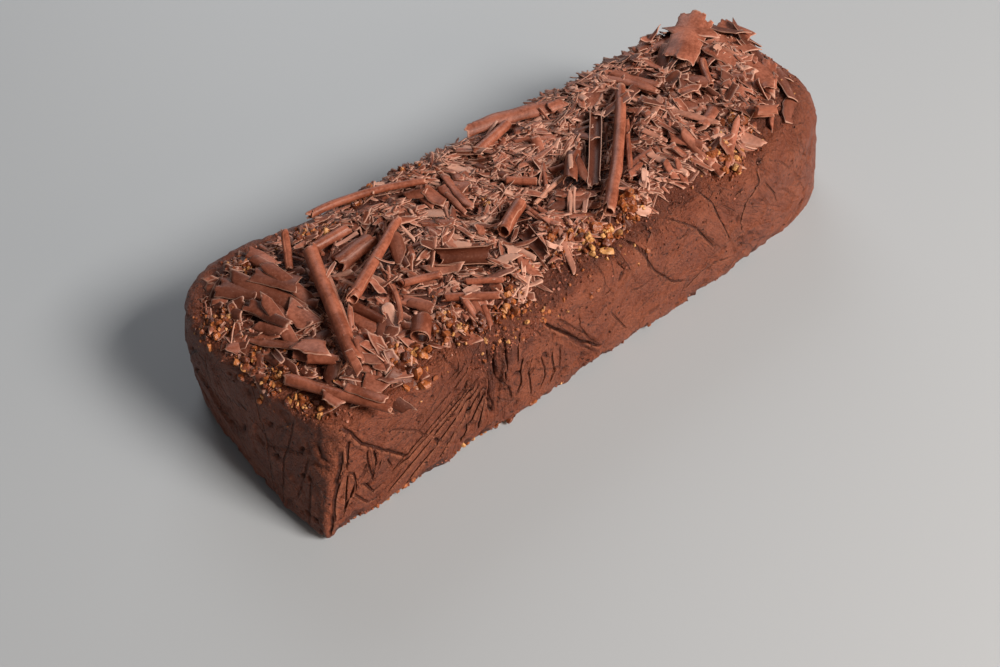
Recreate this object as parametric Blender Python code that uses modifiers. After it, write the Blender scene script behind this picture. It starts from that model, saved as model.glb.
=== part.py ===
"""Chocolate biscuit cake: a chilled chocolate loaf, spread with a knife and heaped with
chocolate quills, broad shavings and chopped nuts.

Metres, +Z up. The origin is the middle of the flat base. +X runs along the loaf to its
rounder end, and the long side at -Y is the one that faces the viewer.
"""
import math
import random
from collections import namedtuple

import bmesh
import bpy
import numpy as np
from mathutils import Euler, Vector
from mathutils.bvhtree import BVHTree

MM = 0.001
GAP = 0.5 * MM                  # air kept between a shaving and what it lies on
FALL_STEP = 0.2 * MM            # a falling shaving is tested this often

# ---- the loaf
HALF_LENGTH = 143.0 * MM
HALF_WIDTH = 50.0 * MM
HEIGHT = 50.0 * MM              # chocolate cream at its top edge
DOME = 2.0 * MM                 # rise of the cream's top towards the middle
END_TAPER = 9.5 * MM            # how far the ends lean in over the height
SIDE_TAPER = 7.0 * MM           # how far the long sides lean in over the height
LEAN_POWER = 1.35               # above 1 the walls stand steeper near the base
NEAR_BOW = 5.5 * MM             # bulge of the near end's middle
NEAR_BOW_REACH = 30.0 * MM      # the bulge fades out over this length of the loaf
SET_BACK = 1.5 * MM             # the near corner on the viewer's side stands back this far,
SET_BACK_LEAN = 8.0 * MM        # and leans in this much more than the rest of the end;
SET_BACK_Y = 10.0 * MM          # both fade out along the end by here
SET_BACK_X = 70.0 * MM          # and along the side between this distance from the middle
SET_BACK_REACH = 45.0 * MM      # and this much further out
FAR_NARROWING = 4.0 * MM        # how far the viewer's side draws in towards the far end
FAR_START = 60.0 * MM           # x where the narrowing starts, and the length it takes
CORNER_BULGE = 6.0 * MM         # the cream swells at the near end's back corner
CORNER_BULGE_X = -128.0 * MM
CORNER_BULGE_Y = 38.0 * MM
CORNER_BULGE_WIDTH = 34.0 * MM
FOOT = 1.3 * MM                 # how far the ragged foot is tucked under
FOOT_HEIGHT = 4.0 * MM
EDGE_RADIUS = 4.5 * MM          # rounding of the top edge by the near corner
FRONT_EDGE_EXTRA = 4.0 * MM     # further rounding along the far half of the viewer's side,
FRONT_EDGE_X = -40.0 * MM       # from here on,
FRONT_EDGE_REACH = 30.0 * MM    # reached over this length
FAR_EDGE_EXTRA = 4.0 * MM       # further rounding at the far end,
FAR_EDGE_X = 55.0 * MM          # from here on,
FAR_EDGE_REACH = 70.0 * MM      # reached over this length
BACK_EDGE_EXTRA = 3.5 * MM      # further rounding along the back,
BACK_EDGE_Y = -10.0 * MM        # from here on,
BACK_EDGE_REACH = 40.0 * MM     # reached over this width
SPINE_HALF = 92.0 * MM          # the top closes on a line this long each way
SPINE_SHARE = 0.05              # width left where the top closes, as a share
CORNERS = (                     # radius at the base and at the top, round from the near corner
    (5.0 * MM, 8.0 * MM),
    (37.0 * MM, 33.0 * MM),
    (36.0 * MM, 30.0 * MM),
    (26.0 * MM, 20.0 * MM),
)
POINTS_ROUND = 120
SLOPE_STEP = 0.004              # share of the way round that gives the outline's direction
SIDE_LEVELS = (0.0, 0.09, 0.24, 0.42, 0.6, 0.78, 1.0)
EDGE_LEVELS = (1.35, 1.7, 2.0)
TOP_LEVELS = (2.09, 2.2, 2.36, 2.55, 2.78, 3.0)

# ---- the knife's strokes over the cream
STROKES = 150
STROKE_SEED = 21
STROKE_DEPTH = 0.9 * MM         # facets lie up to this far in or out
STROKE_SOFTNESS = 0.28
DEEPEST = 2.4 * MM              # the knife's relief is held between these
PROUDEST = 1.2 * MM

# Strokes that show clearly on the viewer's side, laid after the others.
# x, height: middle. turn: degrees from level. level: how far it stands out. Lengths in mm.
SideStroke = namedtuple("SideStroke", "x height turn half_length half_width level")
SIDE_STROKES = (
    SideStroke(-95, 25, 50, 30, 20, 0.4),
    SideStroke(-105, 38, 10, 16, 9, 0.7),
    SideStroke(-115, 14, 40, 16, 9, -0.7),
    SideStroke(-67, 33, 88, 20, 4, 1.2),
    SideStroke(-60, 30, 90, 22, 4, -2.2),
    SideStroke(-32, 36, -49, 16, 5, 0.8),
    SideStroke(-24, 25, -49, 19, 4, -1.8),
    SideStroke(8, 46, -60, 16, 6, 1.2),
    SideStroke(33, 27, 20, 15, 11, -0.6),
    SideStroke(47, 37, -48, 20, 4, 1.2),
    SideStroke(55, 42, -45, 14, 6, -1.0),
    SideStroke(74, 30, -30, 18, 10, 0.3),
)

# ---- the heap of fine shavings
HEAP_START = 1.5 * MM           # bare cream between the top edge and the heap
HEAP_OVER_BACK = 6.5 * MM       # along the back the heap reaches out over the edge instead,
HEAP_OVER_X = -90.0 * MM        # from here on,
HEAP_OVER_REACH = 50.0 * MM     # reached over this length
HEAP_SLOPE = 7.0 * MM           # width of the heap's slope
HEAP_DEPTH = 3.4 * MM
LUMP_HEIGHT = 0.9 * MM
LUMP_SEED = 8
LUMPS = 14
BED_DEPTH = 1.6 * MM            # how far a large shaving presses the heap down
BED_MARGIN = 4.0 * MM
FAR_MOUND = 3.4 * MM            # the heap stands higher at the far end
FAR_MOUND_X = 110.0 * MM
FAR_MOUND_Y = 22.0 * MM
FAR_MOUND_WIDTH = 26.0 * MM

# ---- what is fused to the loaf
FLAKES = 46
FLAKE_SEED = 5
FLAKE_THICKNESS = 0.9 * MM
FLAKE_MARGIN_X = 18.0 * MM      # flakes keep this far from the loaf's ends
FLAKE_MARGIN_Y = 14.0 * MM      # and this far from its long sides
NUT_SEED = 12

# ---- the rolled and curved shavings on top
SHAVING_WALL = 0.8 * MM
CLEAR_AIR = 0.12                # height, in metres, that is above everything

COLOURS = {                     # linear base colours
    "cream": (0.150, 0.052, 0.030),
    "quill": (0.215, 0.088, 0.058),
    "shaving": (0.130, 0.046, 0.030),
}

# Nuts lie in clusters: middle x and y, spread, count and largest size, in mm.
NutCluster = namedtuple("NutCluster", "x y spread count size")
NUT_CLUSTERS = (
    NutCluster(-84, -38, 7, 9, 4.6),
    NutCluster(-68, -36, 6, 5, 3.4),
    NutCluster(-50, -36, 6, 6, 3.6),
    NutCluster(-22, -30, 7, 5, 3.2),
    NutCluster(-2, -33, 6, 6, 3.8),
    NutCluster(17, -29, 5, 8, 4.8),
    NutCluster(66, -31, 9, 6, 4.2),
    NutCluster(-130, 17, 4, 6, 3.6),
    NutCluster(-111, 33, 4, 3, 4.4),
    NutCluster(-82, 33, 4, 6, 4.4),
    NutCluster(-58, 37, 4, 3, 3.6),
    NutCluster(-127, -12, 5, 5, 3.4),
)

# Rolled and curved shavings, laid from the lowest to the highest.
# x, y: middle. heading: the way its length points. radius, sweep: its cross-section.
# opening: where its open side faces (0 up, 90 to the left of the heading, -90 to the right).
# tilt: how far its front end is raised. taper: radius at the front end as a share.
# bend: how far its middle is bowed to the side. Lengths in mm, angles in degrees.
Shaving = namedtuple(
    "Shaving", "name x y heading length radius sweep opening tilt taper bend")
SHAVINGS = (
    Shaving("shaving_near_left", -117, 22, -52, 16, 10, 62, 183, 10, 0.9, 0),
    Shaving("shaving_back_corner", -105, 30, -74, 14, 6, 70, 190, 4, 0.9, 0),
    Shaving("shaving_broad", -107, 16, -56, 19, 8, 68, 192, 2, 1.0, 0),
    Shaving("shaving_curved", -117, 5, -81, 18, 7, 80, 185, 3, 0.8, 2),
    Shaving("shaving_pale", -112, -14, -52, 11, 12, 42, 175, 2, 1.0, 0),
    Shaving("roll_corner", -112, -21, -42, 12, 2.0, 240, 150, 0, 0.9, 0),
    Shaving("roll_dark", -89, -14, -70, 15, 2.0, 210, 150, 0, 0.9, 0),
    Shaving("roll_red", -80, 24, 2, 18, 2.1, 220, 170, 0, 1.0, 0),
    Shaving("roll_wide", -77, 12, 12, 19, 3.0, 250, 185, 0, 1.0, 0),
    Shaving("shaving_striped", -73, -19, -59, 12, 5, 60, 180, 3, 1.0, 0),
    Shaving("roll_end_on", -79, -30, -130, 9, 3.5, 285, 180, 3, 1.0, 0),
    Shaving("quill_low", -49, -26, -34, 16, 1.2, 320, 90, 0, 0.9, 0),
    Shaving("quill_left", -66, -12, -21, 16, 1.5, 310, 60, 0, 0.9, 0),
    Shaving("quill_middle", -57, -29, -34, 21, 1.5, 320, -60, 0, 1.0, 0),
    Shaving("roll_open", -49, -14, -35, 22, 3.3, 195, -35, 2, 1.0, 0),
    Shaving("shaving_diagonal", -33, 12, -95, 20, 4, 110, 185, 2, 0.9, 0),
    Shaving("shaving_back_strip", -41, 18, -87, 14, 5, 60, 175, 3, 1.0, 0),
    Shaving("quill_back_long", -60, 29, -15, 48, 1.6, 320, 120, 0, 0.8, 2.5),
    Shaving("quill_short_up", -96, 27, -115, 16, 1.5, 300, 20, -14, 1.0, 0),
    Shaving("quill_twisted", -80, -16, -115, 20, 1.1, 280, 30, 0, 0.8, 1.5),
    Shaving("quill_cross", -75, 2, -148, 42, 1.7, 325, 100, 0, 1.3, 0),
    Shaving("quill_front", -114.5, -34, -57, 39, 2.3, 320, -90, 0, 0.55, 0),
    Shaving("quill_long", -98, -5, -106, 59, 2.7, 330, -80, 0, 1.0, 0),
    Shaving("quill_fat", -24, -10, -151, 18, 2.6, 310, 90, 2, 1.0, 0),
    Shaving("quill_small", -9, 3, -42, 13, 1.6, 300, 150, 0, 1.0, 0),
    Shaving("shaving_leaf", -25, -23, -95, 15, 3.4, 130, -40, 0, 0.8, 0),
    Shaving("stick_thin", -3, -6, -165, 22, 1.0, 300, 180, 0, 0.9, 0),
    Shaving("roll_back_broad", 13, 34.5, -17, 42, 4.0, 140, 175, 1, 0.9, 1.5),
    Shaving("quill_back", -3, 29, 14, 23, 2.1, 300, 160, 2, 1.0, 0),
    Shaving("roll_half", 10, -4, -134, 18, 2.8, 205, 165, 2, 1.0, 0),
    Shaving("roll_dark_strip", 1, -15, -29, 14, 2.2, 160, 190, 0, 1.0, 0),
    Shaving("roll_trough", 26, 0.5, -133, 48, 2.7, 175, 10, 0, 0.9, 0),
    Shaving("quill_thin", 36, -8, -130, 38, 1.2, 300, 20, 0, 0.9, 0),
    Shaving("quill_far_long", 31, -5, -136, 74, 2.2, 330, 95, 1, 1.1, 1.5),
    Shaving("shaving_field", 58, -18, -60, 15, 5, 70, 175, 3, 1.0, 0),
    Shaving("shaving_field_far", 74, -14, 20, 14, 4, 85, 185, 3, 1.0, 0),
    Shaving("shaving_strips", 66, 20, -80, 26, 4, 100, 182, 3, 0.9, 0),
    Shaving("shaving_far_broad", 98, 24, -150, 34, 14, 66, 182, 2, 0.9, 0),
    Shaving("rod_far", 91, 5, -123, 17, 1.8, 300, 30, 0, 0.9, 0),
    Shaving("shaving_far_plate", 122, 17, -78, 17, 9, 60, 188, 4, 1.0, 0),
    Shaving("shaving_far_strip", 113, -10, -137, 21, 6, 70, 188, 4, 1.0, 0),
    Shaving("roll_far_half", 93, -27, -37, 10, 3.6, 200, -130, 3, 1.0, 0),
)


# ---- helpers

def smooth(share):
    """Smoothstep: 0 below 0, 1 above 1, and an even ease between."""
    share = np.clip(share, 0.0, 1.0)
    return share * share * (3.0 - 2.0 * share)


def clear_scene():
    for old in list(bpy.data.objects):
        bpy.data.objects.remove(old, do_unlink=True)


def material(name, colour, roughness):
    made = bpy.data.materials.new(name)
    made.use_nodes = True
    shader = made.node_tree.nodes["Principled BSDF"]
    shader.inputs["Base Color"].default_value = (*colour, 1.0)
    shader.inputs["Roughness"].default_value = roughness
    shader.inputs["Metallic"].default_value = 0.0
    made.diffuse_color = (*colour, 1.0)
    return made


def add_object(name, mesh, collection, look=None):
    made = bpy.data.objects.new(name, mesh)
    collection.objects.link(made)
    if look:
        mesh.materials.append(look)
    return made


def solid_points_and_faces(obj):
    """World-space vertices and triangles of an object with its modifiers."""
    graph = bpy.context.evaluated_depsgraph_get()
    evaluated = obj.evaluated_get(graph)
    mesh = evaluated.to_mesh()
    mesh.calc_loop_triangles()
    points = [obj.matrix_world @ vertex.co for vertex in mesh.vertices]
    faces = [tuple(triangle.vertices) for triangle in mesh.loop_triangles]
    evaluated.to_mesh_clear()
    return points, faces


# ---- the loaf's shape

def corner_path(rise):
    """The outline at a share of the height: straights and arcs, from mid near end round by -Y."""
    x_far = HALF_LENGTH - rise * END_TAPER
    x_near = -(HALF_LENGTH - NEAR_BOW) + rise * END_TAPER
    y_side = HALF_WIDTH - rise * SIDE_TAPER
    radii = [low + rise * (high - low) for low, high in CORNERS]
    middles = (
        (x_near + radii[0], -y_side + radii[0]),
        (x_far - radii[1], -y_side + radii[1]),
        (x_far - radii[2], y_side - radii[2]),
        (x_near + radii[3], y_side - radii[3]),
    )
    steps = np.linspace(0.0, 1.0, 25)
    arcs = []
    for quarter, ((x, y), radius) in enumerate(zip(middles, radii)):
        turn = np.radians(180.0 + 90.0 * quarter + 90.0 * steps)
        arcs.append(np.stack([x + radius * np.cos(turn), y + radius * np.sin(turn)], axis=1))
    start = np.array([[x_near, 0.0]])
    pieces = [start + (arcs[0][0] - start) * steps[:, None], arcs[0]]
    for before, after in zip(arcs[:-1], arcs[1:]):
        pieces += [before[-1] + (after[0] - before[-1]) * steps[:, None], after]
    pieces.append(arcs[3][-1] + (start - arcs[3][-1]) * steps[:, None])
    path = np.concatenate(pieces)
    bow_starts = HALF_LENGTH - 3 * NEAR_BOW - NEAR_BOW_REACH
    near = smooth((-path[:, 0] - bow_starts) / NEAR_BOW_REACH)
    path[:, 0] -= NEAR_BOW * near * (1.0 - (path[:, 1] / HALF_WIDTH) ** 2)
    beside = smooth((-path[:, 0] - SET_BACK_X) / SET_BACK_REACH)
    towards_viewer = np.clip((SET_BACK_Y - path[:, 1]) / (SET_BACK_Y + HALF_WIDTH), 0.0, 1.0)
    path[:, 0] += (SET_BACK + rise * SET_BACK_LEAN) * beside * towards_viewer
    far = smooth((path[:, 0] - FAR_START) / FAR_START)
    path[:, 1] += FAR_NARROWING * far * 0.5 * (1.0 - path[:, 1] / HALF_WIDTH)
    return path


def path_shares():
    """Share of the way round for each point of corner_path, the same at every height."""
    base = corner_path(0.0)
    lengths = np.linalg.norm(np.diff(base, axis=0), axis=1)
    along = np.concatenate([[0.0], np.cumsum(lengths)])
    return along / along[-1], along[-1]


SHARES, GIRTH = path_shares()


def ring(around, rise, inset):
    """Points of the outline at a rise, and their outward directions, moved in by `inset`."""
    path = corner_path(rise)
    found = np.stack([np.interp(around, SHARES, path[:, axis]) for axis in (0, 1)], axis=1)
    ahead = np.stack(
        [np.interp((around + SLOPE_STEP) % 1.0, SHARES, path[:, axis]) for axis in (0, 1)],
        axis=1)
    behind = np.stack(
        [np.interp((around - SLOPE_STEP) % 1.0, SHARES, path[:, axis]) for axis in (0, 1)],
        axis=1)
    along = ahead - behind
    along /= np.linalg.norm(along, axis=1)[:, None]
    outward = np.stack([along[:, 1], -along[:, 0]], axis=1)
    return found - outward * np.reshape(inset, (-1, 1)), outward


def edge_radius(around):
    """Rounding of the top edge, larger at the far end and along the back."""
    base, _ = ring(around, 0.0, 0.0)
    far = smooth((base[:, 0] - FAR_EDGE_X) / FAR_EDGE_REACH)
    back = smooth((base[:, 1] - BACK_EDGE_Y) / BACK_EDGE_REACH)
    half_way = smooth((base[:, 0] - FRONT_EDGE_X) / FRONT_EDGE_REACH)
    front = FRONT_EDGE_EXTRA * half_way * (1.0 - back)
    return EDGE_RADIUS + front + FAR_EDGE_EXTRA * far + BACK_EDGE_EXTRA * back * (1.0 - far)


def corner_bulge(around, z):
    """How far the cream swells out by the near end's back corner, fully near the top."""
    base, _ = ring(around, 0.0, 0.0)
    away = np.hypot(base[:, 0] - CORNER_BULGE_X, base[:, 1] - CORNER_BULGE_Y)
    return CORNER_BULGE * np.exp(-(away / CORNER_BULGE_WIDTH) ** 2) * smooth(z / (0.75 * HEIGHT))


def make_strokes():
    """Knife strokes in the order they were laid: place, direction, size, level and tilt."""
    rng = random.Random(STROKE_SEED)
    strokes = []
    for _ in range(STROKES):
        place = rng.uniform(0.0, GIRTH)
        height = rng.uniform(-5.0, 68.0) * MM
        turn = rng.gauss(0.0, 0.45) + (math.pi / 4 if rng.random() < 0.35 else 0.0)
        half_length = rng.uniform(13.0, 34.0) * MM
        half_width = rng.uniform(5.0, 11.0) * MM
        level = rng.uniform(-1.0, 1.0) * STROKE_DEPTH
        tilt = rng.gauss(0.0, 0.055)
        slope = rng.gauss(0.0, 0.022)
        strokes.append((place, height, turn, half_length, half_width, level, tilt, slope))
    outline = corner_path(0.0)
    side = outline[:, 1] < -0.9 * HALF_WIDTH
    for item in SIDE_STROKES:
        place = float(np.interp(item.x * MM, outline[side, 0], SHARES[side] * GIRTH))
        sizes = [value * MM for value in (item.half_length, item.half_width, item.level)]
        strokes.append((place, item.height * MM, math.radians(item.turn), *sizes, 0.0, 0.0))
    return strokes


def stroke_relief(place, height):
    """How far the knifed cream stands out from the plain loaf, or in if it is negative."""
    relief = np.zeros(place.shape)
    for s, t, turn, half_length, half_width, level, tilt, slope in make_strokes():
        across = (place - s + 0.5 * GIRTH) % GIRTH - 0.5 * GIRTH
        up = height - t
        u = (across * math.cos(turn) + up * math.sin(turn)) / half_length
        v = (-across * math.sin(turn) + up * math.cos(turn)) / half_width
        reach = (u ** 4 + v ** 4) ** 0.25
        mask = smooth((1.0 - reach) / STROKE_SOFTNESS)
        facet = level + tilt * v * half_width + slope * u * half_length
        relief = relief + mask * 0.9 * (facet - relief)
    return np.clip(relief, -DEEPEST, PROUDEST)


def heap_over_edge(flat):
    """How far out the heap reaches over the top edge, along the back only."""
    back = smooth(flat[:, 1] / BACK_EDGE_REACH)
    return HEAP_OVER_BACK * back * smooth((flat[:, 0] - HEAP_OVER_X) / HEAP_OVER_REACH)


def lumps(x, y):
    """A soft uneven field of about -1 to 1: seeded waves 9 to 26 mm long."""
    rng = random.Random(LUMP_SEED)
    field = np.zeros(np.shape(x))
    for _ in range(LUMPS):
        wavelength = rng.uniform(9.0, 26.0) * MM
        turn = rng.uniform(0.0, math.pi)
        phase = rng.uniform(0.0, 2 * math.pi)
        along = x * math.cos(turn) + y * math.sin(turn)
        field = field + np.sin(2 * math.pi * along / wavelength + phase)
    return field / math.sqrt(LUMPS)


def heap_height(x, y):
    """Depth of the heap: uneven, pressed down under the large shavings, high at the far end."""
    pressed = smooth(1.0 - footprint_distance(x, y) / BED_MARGIN)
    away = np.hypot(x - FAR_MOUND_X, y - FAR_MOUND_Y)
    mound = FAR_MOUND * np.exp(-(away / FAR_MOUND_WIDTH) ** 2)
    uneven = LUMP_HEIGHT * lumps(x, y) * (1.0 - 0.7 * pressed)
    return HEAP_DEPTH - BED_DEPTH * pressed + mound + uneven


def footprint_distance(x, y):
    """Distance from each place to the nearest large shaving's footprint."""
    nearest = np.full(np.shape(x), 1.0)
    for item in SHAVINGS:
        turn = math.radians(item.heading)
        dx = x - item.x * MM
        dy = y - item.y * MM
        along = np.abs(dx * math.cos(turn) + dy * math.sin(turn))
        across = np.abs(-dx * math.sin(turn) + dy * math.cos(turn))
        half_width = item.radius * MM * math.sin(math.radians(min(item.sweep, 180.0) / 2))
        beyond = np.maximum(along - 0.5 * item.length * MM, 0.0)
        aside = np.maximum(across - half_width, 0.0)
        nearest = np.minimum(nearest, np.hypot(beyond, aside))
    return nearest


def loaf_level(around, level):
    """One ring of the loaf: levels 0 to 1 climb the side, 1 to 2 round the edge, 2 to 3 cross the top."""
    radius = edge_radius(around)
    wall = HEIGHT - radius
    up = min(level, 1.0)
    z = up * wall
    rise = (float(np.mean(z)) / HEIGHT) ** LEAN_POWER
    foot = FOOT * (1.0 - smooth(z / FOOT_HEIGHT)) - corner_bulge(around, z)
    bend = np.clip(level - 1.0, 0.0, 1.0) * math.pi / 2
    inset = foot + radius * (1.0 - math.cos(bend))
    flat, outward = ring(around, rise, inset)
    z = z + radius * math.sin(bend)
    height_along = up * wall + radius * bend
    inwards = max(level - 2.0, 0.0) * (1.0 - SPINE_SHARE)
    opposite, _ = ring((1.0 - around) % 1.0, rise, inset)
    spine_x = np.clip(0.5 * (flat[:, 0] + opposite[:, 0]), -SPINE_HALF, SPINE_HALF)
    spine = np.stack([spine_x, np.zeros(len(flat))], axis=1)
    reach = np.linalg.norm(flat - spine, axis=1)
    depth_in = inwards * reach
    heap_starts = radius + HEAP_START - heap_over_edge(flat)
    relief = stroke_relief(around * GIRTH, height_along + depth_in)
    lean = math.cos(bend)
    rise_by = math.sin(bend)
    flat = flat + outward * (relief * lean)[:, None]
    flat = flat + (spine - flat) * inwards
    from_wall = depth_in + radius * (1.0 - lean)
    heap = smooth((from_wall - heap_starts) / HEAP_SLOPE)
    z = z + relief * rise_by * (1.0 - 0.6 * heap)
    z = z + DOME * (1.0 - (1.0 - inwards) ** 2)
    z = z + heap * heap_height(flat[:, 0], flat[:, 1])
    return np.column_stack([flat, z])


def loaf_mesh():
    """The loaf as one closed body, lofted from its base outline to the line its top closes on."""
    around = np.arange(POINTS_ROUND) / POINTS_ROUND
    rings = [loaf_level(around, level) for level in SIDE_LEVELS + EDGE_LEVELS + TOP_LEVELS]
    bm = bmesh.new()
    rows = [[bm.verts.new(point) for point in points] for points in rings]
    for low, high in zip(rows[:-1], rows[1:]):
        for i in range(POINTS_ROUND):
            j = (i + 1) % POINTS_ROUND
            bm.faces.new((low[i], low[j], high[j], high[i]))
    close_like_a_zip(bm, rows[-1])
    bottom = base_ring(bm, rows[0])
    for i in range(POINTS_ROUND):
        j = (i + 1) % POINTS_ROUND
        bm.faces.new((rows[0][j], rows[0][i], bottom[i], bottom[j]))
    close_like_a_zip(bm, bottom[::-1])
    bmesh.ops.recalc_face_normals(bm, faces=bm.faces)
    mesh = bpy.data.meshes.new("loaf")
    bm.to_mesh(mesh)
    bm.free()
    return mesh


def base_ring(bm, outer):
    """A narrow ring in the flat base that its middle closes on."""
    made = []
    for i, vertex in enumerate(outer):
        other = outer[-i % POINTS_ROUND]
        spine_x = min(max(0.5 * (vertex.co.x + other.co.x), -SPINE_HALF), SPINE_HALF)
        spine = Vector((spine_x, 0.0, 0.0))
        made.append(bm.verts.new(spine.lerp(vertex.co, SPINE_SHARE)))
    return made


def close_like_a_zip(bm, row):
    """Join each point to the one across the slit."""
    last = len(row)
    for i in range(last // 2):
        corners = [row[i], row[i + 1], row[-(i + 1) % last], row[-i % last]]
        distinct = list(dict.fromkeys(corners))
        if len(distinct) > 2:
            bm.faces.new(distinct)


# ---- flakes and nuts fused to the heap

def height_at(tree, x, y):
    """Height of the loaf's surface there, or None beside the loaf."""
    hit = tree.ray_cast(Vector((x, y, CLEAR_AIR)), Vector((0.0, 0.0, -1.0)))[0]
    return hit.z if hit else None


def flake_mesh(length, width, curl, twist):
    """A thin wavy chip: a small grid, rolled a little across and twisted along, then given thickness."""
    bm = bmesh.new()
    bmesh.ops.create_grid(bm, x_segments=3, y_segments=2, size=0.5)
    for vertex in bm.verts:
        along = vertex.co.x
        across = vertex.co.y * (1.0 - 0.5 * abs(along) ** 1.5)
        vertex.co.x = along * length
        vertex.co.y = across * width
        vertex.co.z = -curl * width * (2 * across) ** 2 + twist * along * across * width
    mesh = bpy.data.meshes.new("flake")
    bm.to_mesh(mesh)
    bm.free()
    return mesh


def scatter_flakes(tree, collection):
    """Seeded chips that stand out of the heap, clear of the rolled shavings."""
    rng = random.Random(FLAKE_SEED)
    half_x = HALF_LENGTH - FLAKE_MARGIN_X
    half_y = HALF_WIDTH - FLAKE_MARGIN_Y
    made = 0
    while made < FLAKES:
        x = rng.uniform(-half_x, half_x)
        y = rng.uniform(-half_y, half_y)
        length = rng.uniform(9.0, 17.0) * MM
        width = rng.uniform(3.5, 7.0) * MM
        turn = (rng.uniform(-16, 16), rng.uniform(-22, 22), rng.uniform(0, 360))
        curl = rng.uniform(0.1, 0.4)
        twist = rng.uniform(-0.8, 0.8)
        z = height_at(tree, x, y)
        if z is None or z < HEIGHT or footprint_distance(x, y) < 0.4 * length:
            continue
        flake = add_object(f"flake_{made}", flake_mesh(length, width, curl, twist), collection)
        flake.location = (x, y, z + 0.1 * MM)
        flake.rotation_euler = Euler([math.radians(angle) for angle in turn])
        thickness = flake.modifiers.new("thickness", "SOLIDIFY")
        thickness.thickness = FLAKE_THICKNESS
        thickness.offset = 0.0
        made += 1


def nut_mesh(size, rng):
    """A chopped nut: a coarse ball, squashed and cut off-square."""
    bm = bmesh.new()
    bmesh.ops.create_icosphere(bm, subdivisions=1, radius=0.5 * size)
    squash = (rng.uniform(0.75, 1.2), rng.uniform(0.7, 1.0), rng.uniform(0.6, 0.9))
    for vertex in bm.verts:
        for axis in range(3):
            vertex.co[axis] *= squash[axis] * rng.uniform(0.85, 1.15)
    mesh = bpy.data.meshes.new("nut")
    bm.to_mesh(mesh)
    bm.free()
    return mesh


def scatter_nuts(tree, collection):
    """Seeded nuts in their clusters, sunk a third into what they lie on."""
    rng = random.Random(NUT_SEED)
    for number, cluster in enumerate(NUT_CLUSTERS):
        for count in range(cluster.count):
            x = (cluster.x + rng.gauss(0.0, 0.55) * cluster.spread) * MM
            y = (cluster.y + rng.gauss(0.0, 0.4) * cluster.spread) * MM
            size = cluster.size * MM * rng.uniform(0.62, 1.0)
            turn = [rng.uniform(0.0, 2 * math.pi) for _ in range(3)]
            mesh = nut_mesh(size, rng)
            z = height_at(tree, x, y)
            if z is None or z < 0.8 * HEIGHT or footprint_distance(x, y) < 0.6 * size:
                bpy.data.meshes.remove(mesh)
                continue
            nut = add_object(f"nut_{number}_{count}", mesh, collection)
            nut.location = (x, y, z + 0.14 * size)
            nut.rotation_euler = Euler(turn)


def fuse(loaf, collection):
    """One union of the loaf with the collection, applied; loose scraps and sealed hollows go."""
    union = loaf.modifiers.new("fuse toppings", "BOOLEAN")
    union.operation = "UNION"
    union.operand_type = "COLLECTION"
    union.collection = collection
    union.solver = "MANIFOLD"
    graph = bpy.context.evaluated_depsgraph_get()
    fused = bpy.data.meshes.new_from_object(loaf.evaluated_get(graph))
    loaf.modifiers.clear()
    loaf.data = fused
    for old in list(collection.objects):
        bpy.data.objects.remove(old, do_unlink=True)
    bpy.data.collections.remove(collection)
    keep_largest_body(fused)


def keep_largest_body(mesh):
    """Drop every body of the mesh but the one with the most vertices."""
    bm = bmesh.new()
    bm.from_mesh(mesh)
    bm.verts.ensure_lookup_table()
    unseen = set(bm.verts)
    bodies = []
    while unseen:
        front = [unseen.pop()]
        body = []
        while front:
            vertex = front.pop()
            body.append(vertex)
            for edge in vertex.link_edges:
                other = edge.other_vert(vertex)
                if other in unseen:
                    unseen.remove(other)
                    front.append(other)
        bodies.append(body)
    bodies.sort(key=len)
    for body in bodies[:-1]:
        bmesh.ops.delete(bm, geom=body, context="VERTS")
    bm.to_mesh(mesh)
    bm.free()


# ---- rolled shavings

def shaving_mesh(item):
    """A grid rolled into part of a tube: its width runs round the section, its length along +X."""
    stations = max(2, round(item.length / 11))
    steps = max(3, round(item.sweep / 42))
    bm = bmesh.new()
    bmesh.ops.create_grid(bm, x_segments=stations, y_segments=steps, size=0.5)
    for vertex in bm.verts:
        along = vertex.co.x
        share = vertex.co.y
        radius = item.radius * MM * (1.0 + (item.taper - 1.0) * (along + 0.5))
        radius -= 0.5 * SHAVING_WALL
        turn = math.radians(item.opening + 180.0 + share * item.sweep)
        bow = item.bend * MM * (1.0 - (2 * along) ** 2)
        vertex.co.x = along * item.length * MM
        vertex.co.y = bow + radius * math.sin(turn)
        vertex.co.z = radius * math.cos(turn)
    mesh = bpy.data.meshes.new(item.name)
    bm.to_mesh(mesh)
    bm.free()
    return mesh


def resting_fall(points, faces, below, top_below):
    """The fall that leaves a shaving GAP above what it touches first, found in small steps."""
    fall = min(point.z for point in points) - top_below
    touches = False
    while not touches:
        fall += FALL_STEP
        moved = [point - Vector((0.0, 0.0, fall)) for point in points]
        touches = bool(BVHTree.FromPolygons(moved, faces).overlap(below))
    return fall - FALL_STEP - GAP


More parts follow.
